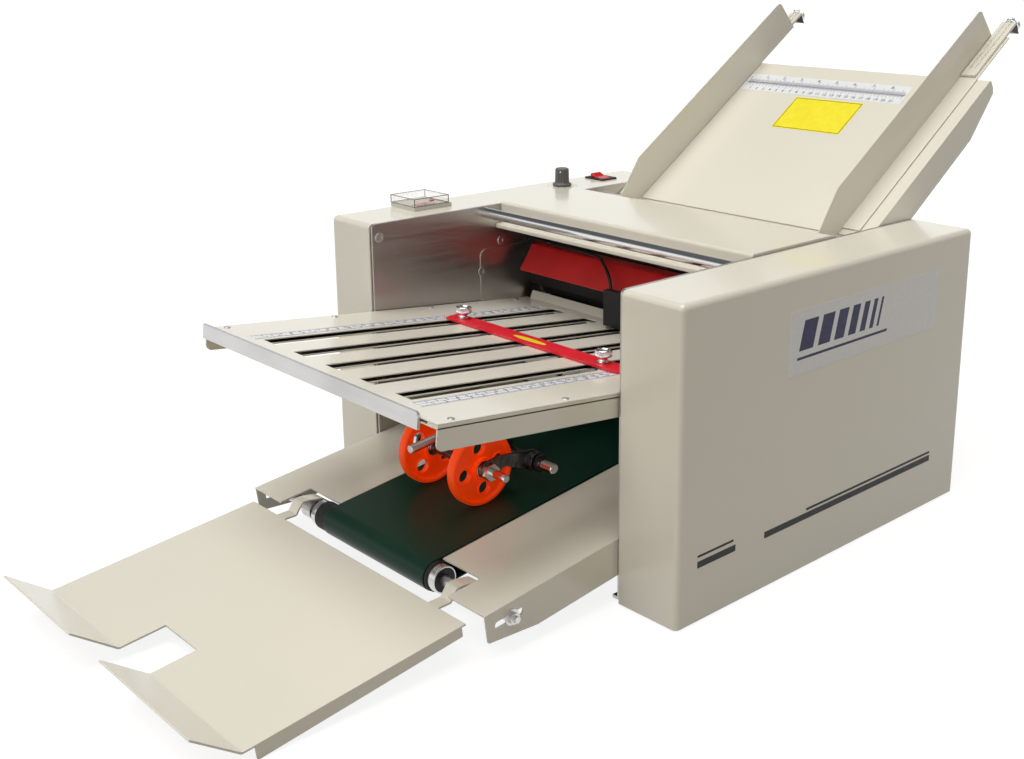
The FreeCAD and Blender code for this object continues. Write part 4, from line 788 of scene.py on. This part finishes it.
# %% Darken the lid's edges
lid_edge = finish("lid_edge", (0.24, 0.21, 0.19), 0.1, gloss=(200.0, 0.08, 0.14))
fill_in(shader_of(lid_edge), Alpha=0.8)

# the bars start just over the foot of the solid lid, and leave out the hinge behind it
lo, hi = counter_low + 0.15, counter_high - 0.15
LID_FOOT, LID_BACK, edge_wide = 286.3, -95.0, 0.75   # mm
lo[2], hi[1] = LID_FOOT, LID_BACK
x_low = np.array([lo[0], hi[0] - edge_wide])
y_low = np.array([lo[1], hi[1] - edge_wide])


def bars_between(x0, x1, y0, y1, z0, z1):
    """One upright-sided bar for each pair of corners, as one shape."""
    points, faces = ink_bars(x0, x1, y0, y1, 0.0)
    points[:, 2] = np.where(points[:, 2] > 0, z1, z0)
    return points, faces


post_x, post_y = np.repeat(x_low, 2), np.tile(y_low, 2)
lid_frame = [bars_between(post_x, post_x + edge_wide, post_y, post_y + edge_wide, lo[2], hi[2])]
for z in (lo[2], hi[2] - edge_wide):
    lid_frame.append(bars_between(x_low, x_low + edge_wide, lo[1], hi[1], z, z + edge_wide))
    lid_frame.append(bars_between(lo[0], hi[0], y_low, y_low + edge_wide, z, z + edge_wide))
dots = [turned([(0.9, hi[2]), (0.9, hi[2] + 0.1)], (x, y, 0), Z, 16)
        for x, y in zip((-231.0, -229.5, -228.0, -226.5), (-133.0, -128.5, -124.0, -119.5))]
new_piece("counter_lid_edges", {lid_edge: lid_frame, ink_black: dots}, "counter_lid")

# %% [markdown]
# ## The knob and its dial
# A speed knob is moulded with a skirt, upright flutes for the fingers, and a white dot on its side. The
# flutes are a ripple on a turned profile: the radius shrinks by the positive part of a cosine of the angle,
# but only between two heights, so that skirt and crown stay round. The dial is printed on the housing.

# %% Turn the knob and print its dial
KNOB = (-212.0, 81.0)


def between(height, low, high, blend=0.6):
    """1 between two heights and 0 outside, with a straight change over the blend at each end."""
    return np.clip((height - low) / blend, 0, 1) * np.clip((high - height) / blend, 0, 1)


knob_profile = [
    (10.5, 0.35), (11.0, 0.8), (11.0, 2.6), (10.4, 3.3), (9.0, 3.7), (8.4, 4.3), (8.35, 5.0), (8.3, 5.6),
    (8.2, 8.0), (8.1, 12.0), (8.0, 16.0), (7.95, 18.6), (7.9, 19.3), (7.7, 20.0), (7.2, 20.6), (6.4, 20.9),
    (5.8, 20.7), (5.4, 20.6),
]
knob = turned(
    knob_profile, (*KNOB, HOUSING_TOP), Z, 216,
    lambda height, angle: -0.11 * between(height, 4.9, 19.2) * np.clip(np.cos(16 * angle), 0, 1),
)
dot = turned([(1.0, 7.6), (1.0, 8.15), (0.8, 8.3)], (*KNOB, HOUSING_TOP + 17.0), (0.55, -0.84, 0), 24)
new_piece(
    "speed_knob_fluted", {grey_plastic: [knob], foil_white: [dot]}, "speed_knob",
    instead=["speed_knob"],
)

dial_angle = np.radians(np.linspace(240.0, -60.0, 11))
DIAL = ((*KNOB, HOUSING_TOP), X, Y)


def spoke(angle, near, far, wide):
    """A tick that points away from a centre: its corners lie near and far along the angle, to each side."""
    out = np.array([math.cos(angle), math.sin(angle)])
    aside = np.array([-out[1], out[0]]) * wide / 2
    return slab([near * out - aside, far * out - aside, far * out + aside, near * out + aside], 0.0, INK)


ticks = [spoke(a, 12.4, 14.6, 0.7) for a in dial_angle]
figures = [number(str(n), 3.4, 17.0 * math.cos(a), 17.0 * math.sin(a), 0.0) for n, a in enumerate(dial_angle)]
new_piece("speed_dial", {ink_black: ticks + figures}, "frame", DIAL)

# %% [markdown]
# ## The rocker switch
# The bezel is one closed band: its section runs up the outside, over the rim and down into the well, and is
# swept round a rounded rectangle. The rocker's top is two slopes that meet in a soft valley, so the profile
# is a smooth curve through five heights, drawn out along Y.

# %% Build the switch
SWITCH = (-217.5, 150.0, HOUSING_TOP)
band = [
    (15.5, 12.5, 0.0), (15.5, 12.5, 1.5), (15.0, 12.0, 2.0), (12.0, 8.6, 2.0), (11.6, 8.2, 1.6),
    (11.6, 8.2, -6.0), (15.0, 12.0, -0.2),
]
bezel = stacked(band + band[:1], 1.4)
new_piece(
    "switch_bezel", {black_plastic: [bezel]}, "frame", (SWITCH, X, Y), ["control_bezels"],
)

along = np.linspace(-9.6, 10.7, 25)
height = np.interp(along, [-9.6, -8.8, -1.0, 9.5, 10.7], [6.2, 6.3, 2.7, 1.7, 1.2])
height[1:-1] = (height[:-2] + height[1:-1] + height[2:]) / 3
rocker_outline = np.concatenate([[(-10.7, -2.8), (10.7, -2.8)], np.column_stack([along, height])[::-1]])
rocker_slab = slab(rocker_outline, -7.6, 7.6)
rocker = new_piece(
    "rocker", {red_plastic: [rocker_slab]}, "rocker_switch", (SWITCH, X, Z), ["rocker_switch"],
)


def soften(piece, width, segments=2):
    """Rounds a piece's edges with a Bevel modifier of that width in mm."""
    bevel = piece.modifiers.new("soft_edges", "BEVEL")
    bevel.width, bevel.segments = width * MM, segments
    bevel.limit_method, bevel.angle_limit = "ANGLE", math.radians(50)
    bevel.harden_normals = True


soften(rocker, 0.5)

# %% [markdown]
# ## Knurled screws
# Three clamp screws hold the two stop bars and two knobs hold the extension bars. Their chromed heads are
# knurled: a ripple of many fine teeth round the rim. A turned neck with a waist lets light run up and down
# the chrome.

# %% Turn the screws and knobs
def teeth(count, depth, low, high):
    """A ripple of so many teeth between two heights: minus half the depth times one plus the cosine."""
    return lambda height, angle: -depth / 2 * between(height, low, high, 0.4) * (1 + np.cos(count * angle))


screw_profile = [
    (4.0, -4.2), (4.0, 3.3), (5.5, 3.35), (5.6, 3.5), (5.6, 4.1), (5.3, 4.5), (4.6, 5.0), (4.4, 5.8),
    (4.4, 7.0), (4.8, 7.9), (6.6, 8.8), (7.7, 9.1), (8.0, 9.5), (8.0, 9.9), (8.0, 10.3), (8.0, 13.6),
    (8.0, 14.0), (7.9, 14.4), (7.4, 14.9), (6.9, 15.0), (6.5, 14.9), (6.1, 14.3), (5.6, 14.0),
]
REAR_PLATE = ((0, 46.0, 142.2), *slope(REAR_ANGLE)[:2])
STOP_ONE, STOP_TWO = 243.0, 150.0               # how far up its plate each stop bar rests, in mm
for name, x, plane, along in (
    ("stop_screw_left", -100.0, PLATE, STOP_ONE), ("stop_screw_right", 100.0, PLATE, STOP_ONE),
    ("stop_screw_rear", 0.0, REAR_PLATE, STOP_TWO),
):
    screw = turned(screw_profile, (x, along, 0), Z, 180, teeth(45, 0.06, 9.8, 14.1))
    new_piece(name + "_knurled", {chrome: [screw]}, name, plane, [name])

grip_profile = [
    (3.4, 0.0), (7.2, 0.0), (8.3, 0.5), (8.6, 1.0), (8.6, 1.4), (8.6, 5.0), (8.6, 5.4), (8.2, 6.1),
    (7.3, 6.5), (5.2, 6.5), (4.6, 6.2), (4.2, 5.6),
]
uphill = slope(TABLE_ANGLE)[1]


def middle_of(node):
    """The middle of a solid's box, in mm."""
    low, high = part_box(node)
    return np.array((low + high) / 2) / MM


for name in ("guide_knob_left", "guide_knob_right"):
    grip = turned(grip_profile, middle_of(name) - uphill * 3.25, uphill, 180, teeth(45, 0.05, 1.0, 5.4))
    new_piece(name + "_knurled", {chrome: [grip]}, name, instead=[name])

# %% [markdown]
# ## Press wheels
# Two moulded wheels press the sheets on the belt. Each has a crowned rim, a thin web with four round holes,
# and a hub. The rim and the hub are closed sections swept round. The web is worked out in quarters: in the
# plane of radius and angle a quarter is a rectangle, and straight lines from its border run in to the edge
# of the hole.

# %% Mould the wheels
def ring(section, centre, axis, segments=96):
    """A closed (radius, height) section swept round an axis, joined end to start and without lids."""
    shape = turned(section + section[:1], centre, axis, segments)
    return shape[0], shape[1][:-2]


def holed_web(near, far, hole, hole_ring, half, first, per_side=10, rows=5):
    """A ring-shaped sheet with four round holes, as points (y, z, x) round the origin.

    A quarter's border points are (radius, angle). The line from each to the hole's edge in the same direction
    is divided evenly. Both faces, the hole's wall and the two rims are quads of one grid round the section.
    """
    side = np.linspace(-1, 1, per_side + 1)[:-1]
    one = np.ones(per_side)
    border = np.concatenate([
        np.column_stack(pair) for pair in ((one, side), (-side, one), (-one, -side), (side, -one))
    ])
    inner_or_outer = np.repeat([True, False, True, False], per_side)
    radius = (near + far) / 2 + border[:, 0] * (far - near) / 2
    angle = border[:, 1] * np.pi / 4
    aim = np.arctan2(radius * np.sin(angle), radius * np.cos(angle) - hole_ring)
    edge = np.column_stack([hole_ring + hole * np.cos(aim), hole * np.sin(aim)])
    edge_polar = np.column_stack([np.hypot(*edge.T), np.arctan2(edge[:, 1], edge[:, 0])])
    share = np.linspace(0, 1, rows)[:, None, None]
    polar = (1 - share) * np.column_stack([radius, angle]) + share * edge_polar
    heights = np.concatenate([np.full(rows, half), np.full(rows, -half)])
    polar = np.concatenate([polar, polar[::-1]])
    shapes = []
    for quarter in range(4):
        turn = polar[..., 1] + math.radians(first + 90 * quarter)
        points = np.stack([polar[..., 0] * np.cos(turn), polar[..., 0] * np.sin(turn),
                           np.broadcast_to(heights[:, None], turn.shape)], -1)
        faces = np.array(grid_faces(2 * rows, 4 * per_side))
        rim_a = np.arange(4 * per_side)[inner_or_outer]
        rim_b = (rim_a + 1) % (4 * per_side)
        last = (2 * rows - 1) * 4 * per_side
        rims = np.stack([rim_a, last + rim_a, last + rim_b, rim_b], -1)
        shapes.append((points.reshape(-1, 3), np.concatenate([faces, rims]).tolist()))
    return shapes


def flipped(section, sign=-1):
    """A section with its heights times the sign, +1 or -1."""
    return [(radius, sign * height) for radius, height in section]


rim_half = [
    (35.0, 3.2), (34.6, 4.3), (33.6, 4.9), (32.2, 5.0), (31.2, 4.4), (30.7, 3.4), (30.3, 2.4), (29.6, 1.9),
]
hub_half = [
    (10.4, 1.8), (10.9, 2.6), (11.0, 5.2), (10.5, 6.1), (9.6, 6.5), (8.6, 6.4), (8.1, 5.9), (8.0, 4.6),
    (4.15, 4.6),
]
rim_section, hub_section = (half + flipped(half[::-1]) for half in (rim_half, hub_half))
lip_section = [(6.5, 1.6), (6.5, 2.7), (6.9, 3.1), (7.5, 3.1), (7.9, 2.7), (7.9, 1.6)]
race_section = [
    (4.3, 4.4), (4.3, 5.6), (5.0, 5.8), (5.6, 5.4), (6.8, 5.4), (7.4, 5.8), (7.9, 5.6), (7.9, 4.4),
]

for name, first in (("press_wheel_right", 8.0), ("press_wheel_left", 53.0)):
    turn = np.radians(first + 90.0 * np.arange(4))
    holes = [(20.0 * math.cos(a), 20.0 * math.sin(a), 0) for a in turn]
    lips = [ring(flipped(lip_section, s), hole, Z, 40) for hole in holes for s in (1, -1)]
    moulded = [ring(rim_section, (0, 0, 0), Z, 128), ring(hub_section, (0, 0, 0), Z, 64)]
    races = [ring(flipped(race_section, s), (0, 0, 0), Z, 48) for s in (1, -1)]
    web = holed_web(10.6, 29.9, 6.6, 20.0, 1.9, first)
    wheel = new_piece(
        name + "_moulded", {orange_plastic: moulded + lips + web, steel_bright: races},
        name, (middle_of(name), Y, Z), [name],
    )
    face_outwards(wheel.data, weld=0.001)

# %% [markdown]
# ## The fold plate's two sheets
# The fold plate is a sandwich of two thin slotted sheets with a narrow gap for the paper. Slots could be
# cut with Booleans, but a sheet whose slots all lie on one grid is simpler built from that grid: keep the
# closed cells, and put a wall wherever a closed cell meets an open one. The gap between the sheets lies in
# shade, so black strips on the lower sheet between the slots are painted shade.

# %% Slot the fold plate
def pierced(xs, ys, low, high):
    """A sheet on the grid of the cuts xs and ys, whose middle row is open in every second column.

    Each closed cell gives an upper and a lower quad, and a wall for each of its four neighbours that is open.
    """
    columns, rows = len(xs) - 1, len(ys) - 1
    flat = np.stack(np.meshgrid(xs, ys, indexing="ij"), -1).reshape(-1, 2)
    count = len(flat)
    points = np.concatenate([np.column_stack([flat, np.full(count, h)]) for h in (low, high)])
    closed = np.zeros((columns + 2, rows + 2), bool)
    column, row = np.arange(columns)[:, None], np.arange(rows)[None, :]
    closed[1:-1, 1:-1] = ~((column % 2 == 1) & (row == 1))
    i, j = np.nonzero(closed[1:-1, 1:-1])
    a, b, c, d = (p * (rows + 1) + q for p, q in ((i, j), (i + 1, j), (i + 1, j + 1), (i, j + 1)))
    quads = [np.stack([a, b, c, d], -1) + count, np.stack([a, d, c, b], -1)]
    for p, q, di, dj in ((a, b, 0, -1), (b, c, 1, 0), (c, d, 0, 1), (d, a, -1, 0)):
        wall = ~closed[i + 1 + di, j + 1 + dj]
        p, q = p[wall], q[wall]
        quads.append(np.stack([p, q, q + count, p + count], -1))
    return points, np.concatenate(quads).tolist()


HALF, LONG, PITCH = 173.4, 394.0, 50.0          # half the plate's width, its length, and from slot to slot


def across(half):
    """The cuts on X of five slots, a pitch apart and twice the half wide."""
    return np.concatenate([[-HALF], np.add.outer(PITCH * np.arange(-2, 3), (-half, half)).ravel(), [HALF]])


def strips(spans, near, far, low, high):
    """A rectangular slab for each (x0, x1) span."""
    return [slab([(x0, near), (x1, near), (x1, far), (x0, far)], low, high) for x0, x1 in spans]


sheets = [
    pierced(across(10.75), [0.4, 23.0, LONG - 17.0, LONG], -1.0, 0.0),
    pierced(across(7.6), [0.4, 25.0, LONG - 19.0, LONG - 1], -4.3, -3.3),
]
sheets += strips([(1.6 - HALF, 12.9 - HALF), (HALF - 12.9, HALF - 1.6)], 0.6, LONG - 2, -3.3, -1.0)
# black strips between the slots on the lower sheet: painted shade of the gap between the sheets
between_slots = across(9.0)
between_slots[[0, -1]] = 13.5 - HALF, HALF - 13.5
painted_shade_strips = strips(between_slots.reshape(-1, 2), 20.0, LONG - 12.0, -3.3, -3.2)
rivets = [turned([(3.0, 0.0), (3.0, 0.45), (2.7, 0.75), (2.2, 0.85)], (x, along, 0), Z, 28)
          for x in (-166.5, 166.5) for along in (18.0, 135.0, 253.0, LONG - 22.0)]
turn = np.linspace(np.pi, 1.5 * np.pi, 8)
flange = np.concatenate([
    np.column_stack([6.4 + 6 * np.cos(turn), -15.5 + 6 * np.sin(turn)]),
    [(LONG - 31, -21.5), (LONG - 29, -21.0), (LONG - 1, -1.0), (0.4, -1.0)],
])
lip = [(LONG - 2, -1.0), (LONG, -1.0), (LONG + 3, 9.0), (LONG + 1.6, 9.0)]
_, uphill, outward = slope(PLATE_ANGLE)


def beside(x0):
    """The plane at x0 whose first direction runs along the fold plate and whose second stands up from it."""
    return (x0, PLATE[0][1], PLATE[0][2]), uphill, outward


painted = [laid(s, *PLATE) for s in sheets]
painted += [laid(slab(flange, 0.0, 1.5), *beside(x0)) for x0 in (-HALF, HALF - 1.5)]
painted += [laid(slab(lip, 0.0, wide), *beside(x0)) for x0, wide in ((-166.0, 118.0), (-6.0, 172.0))]
dressed = {
    cream_paint: painted,
    satin_steel: [laid(r, *PLATE) for r in rivets],
    black_steel: [laid(s, *PLATE) for s in painted_shade_strips],
}
new_piece(
    "fold_plate_slotted", dressed, "frame", instead=["fold_plate_one", "fold_plate_one_tray"],
)

# %% [markdown]
# ## The stop bar
# The bar across the fold plate is folded red sheet, and under it, between the two sheets of the plate, runs
# the dark strip that stops the paper. Both move with the same slide. The bar has a small oval label, left
# blank.

# %% Cut the stop bars
def stop_bar(name, plane, along, shift, strip, label):
    """The red bar, its dark strip and, where there is one, its blank oval label, in the plate's own plane."""
    left, right = shift - 119.0, shift + 119.0
    near, far = along - 12.0, along + 12.0
    outline = [(left, near), (right, near), (right + 6, near + 5), (right + 6, far), (left - 10, far)]
    ovals = []
    if label:
        turn = np.linspace(0, 2 * np.pi, 48, endpoint=False)
        middle, half_wide, half_high = label
        oval = np.column_stack([middle + half_wide * np.cos(turn), along - 1.5 + half_high * np.sin(turn)])
        ovals.append(slab(oval, 3.0, 3.1))
    dressed = {
        red_paint: [slab(outline, 0.5, 3.0)],
        black_steel: strips([(-109, 109)], near + 7, far - 6, *strip),
        foil_yellow: ovals,
    }
    soften(new_piece(name + "_pressed", dressed, name, plane, [name]), 0.5)


stop_bar("stop_bar_one", PLATE, STOP_ONE, 7.0, (-2.7, -1.6), (3.0, 23.0, 4.6))
stop_bar("stop_bar_two", REAR_PLATE, STOP_TWO, 2.0, (-4.25, -2.25), None)

# %% [markdown]
# ## The belt's front roller
# The roller is bright at its ends and black over a short band beside the belt. Its end faces are set back,
# and the dark rings on them are painted shade in that recess, with the axle standing out of them.

# %% Sleeve the front roller
ROLLER_AXLE = middle_of("belt_roller_front")[1:]


def sleeve(x0, x1):
    """A thin black ring over the roller between two places on X."""
    section = [(12.3, x0), (13.2, x0), (13.5, x0 + 0.3), (13.5, x1 - 0.3), (13.2, x1), (12.3, x1)]
    return ring(section, (0, *ROLLER_AXLE), X, 72)


# dark rings on the set-back end faces: painted shade in that recess
faces = [ring([(5.2, x0), (11.0, x0), (11.0, x1), (5.2, x1)], (0, *ROLLER_AXLE), X, 64)
         for x0, x1 in ((-100.06, -99.9), (88.4, 88.56))]
new_piece(
    "belt_roller_trim", {black_rubber: [sleeve(76.3, 80.5), sleeve(-92.0, -76.3)], black_steel: faces},
    "belt_roller_front",
)

# %% [markdown]
# ## The sensor's cable
# A thin black cable runs from the left side plate to the sheet sensor. It is held at both ends. A NURBS
# curve through a few control points bends as a cable does, with no straight runs between them.

# %% Lay the sensor's cable
CABLE = [
    (-186, -7, 241), (-150, -13, 241.5), (-95, -14.5, 239.6), (-52, -15.5, 240.5), (-28, -31, 237),
    (-13, -38, 228), (-10, -39, 216.2),
]
line = bpy.data.curves.new("sensor_cable_line", "CURVE")
line.dimensions, line.bevel_depth, line.bevel_resolution, line.resolution_u = "3D", 1.75 * MM, 6, 16
spline = line.splines.new("NURBS")
spline.points.add(len(CABLE) - 1)
spline.points.foreach_set("co", np.column_stack([np.array(CABLE) * MM, np.ones(len(CABLE))]).ravel())
spline.order_u = 3
spline.use_endpoint_u = True
line.use_fill_caps = True
line.materials.append(black_plastic)
cable = bpy.data.objects.new("sensor_cable_line", line)
scene.collection.objects.link(cable)
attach(cable, "frame")
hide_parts("sensor_cable")
print("cable over", round(np.linalg.norm(np.diff(CABLE, axis=0), axis=1).sum()), "mm of control points")

# %% [markdown]
# ## The wedges under the extension bars
# The clamp at the end of each extension bar is a black wedge under the painted bar. The solid gives its
# place and shape in paint, and a thin black skin over it gives its colour.

# %% Cap the wedges
# the bar's underside over the table, and its end past the table's upper edge, in mm
BAR_UNDER, BAR_END = 1.76, 96.0
_, uphill, outward = slope(TABLE_ANGLE)
near, far, under = BAR_END - 13.3, BAR_END + 0.12, BAR_UNDER - 0.01
wedge = [(far, under), (near, under), (far, BAR_UNDER - 12.25)]
for name, x0 in (("extension_bar_left", -156.62), ("extension_bar_right", 140.38)):
    cap = laid(slab(wedge, 0.0, 16.24), (x0, *TABLE[0][1:]), uphill, outward)
    new_piece(name + "_wedge", {black_plastic: [cap]}, name, sharp=20.0)

# %% [markdown]
# ## The inlet's pins
# The mains inlet at the back of the left housing has three flat pins in its well.

# %% Set the pins
INLET = ((-208.0, 200.5, 56.0), X, Z)
pins = [
    slab(rounded(x - 1, x + 1, z - 2, z + 2, 0.4, 3), 0.0, -11.0) for x, z in ((-7, -2), (7, -2), (0, 2.5))
]
new_piece("inlet_pins", {steel_bright: pins}, "frame", INLET)

# %% [markdown]
# ## The press wheels' shafts
# The wheels' axle and the cross shaft behind it are ground bright, while the arms between them are
# blackened. In the solids each shaft is one body with its arms, so a bright sleeve a few hundredths of a
# millimetre thick goes over its free ends. Lock nuts sit beside the wheels, each a slab on six corners, and
# round black nuts sit on the cross shaft.

# %% Brighten the shafts
WHEEL_AXLE = middle_of("press_wheel_right")[1:]
CROSS_SHAFT = (-195.0, 90.0)


def bright_end(end, long, radius, at, chamfer=0.8):
    """A sleeve over the end of a shaft along X through (y, z) = at: a tube that closes over the chamfer."""
    side = math.copysign(1.0, end)
    profile = [
        (radius, end - side * long), (radius, end - side * chamfer), (radius - chamfer, end),
        (radius - chamfer - 0.6, end),
    ]
    return turned(profile, (0, *at), X, 48)


def lock_nut(x0, wide, across_flats, at):
    """A six-sided nut round a shaft along X: six corners, a sixth of a turn apart."""
    turn = np.radians(np.arange(0, 360, 60) + 12.0)
    outline = np.column_stack([np.cos(turn), np.sin(turn)]) * across_flats / math.sqrt(3)
    return laid(slab(outline, 0.0, wide), (x0, *at), Y, Z)


sleeves = [bright_end(end, long, 4.04, WHEEL_AXLE) for end, long in ((69.04, 19.04), (-60.04, 2.04))]
nuts = [
    lock_nut(x, wide, flats, WHEEL_AXLE)
    for x, wide, flats in ((38.6, 3.7, 12.0), (45.45, 4.7, 14.6), (-59.1, 4.7, 14.6))
]
new_piece(
    "wheel_arms_trim", {chrome: sleeves, steel_bright: nuts}, "wheel_arms", sharp=25.0,
)
sleeves = [bright_end(end, long, 5.04, CROSS_SHAFT) for end, long in ((75.04, 21.84), (-66.04, 10.84))]
nut_section = np.array([(5.0, 0.0), (7.6, 0.0), (8.2, 0.5), (8.2, 3.5), (7.6, 4.0), (5.0, 4.0)])
ring_nuts = [
    ring((nut_section + (0, x)).tolist(), (0, *CROSS_SHAFT), X, 48) for x in (54.0, -60.0)
]
new_piece(
    "wheel_carriage_trim", {chrome: sleeves, black_steel: ring_nuts}, "wheel_carriage",
    sharp=25.0,
)

# %% [markdown]
# ## The dressed machine's size
# The box round everything that is shown is measured.

# %% Measure the dressed machine
low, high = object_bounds()
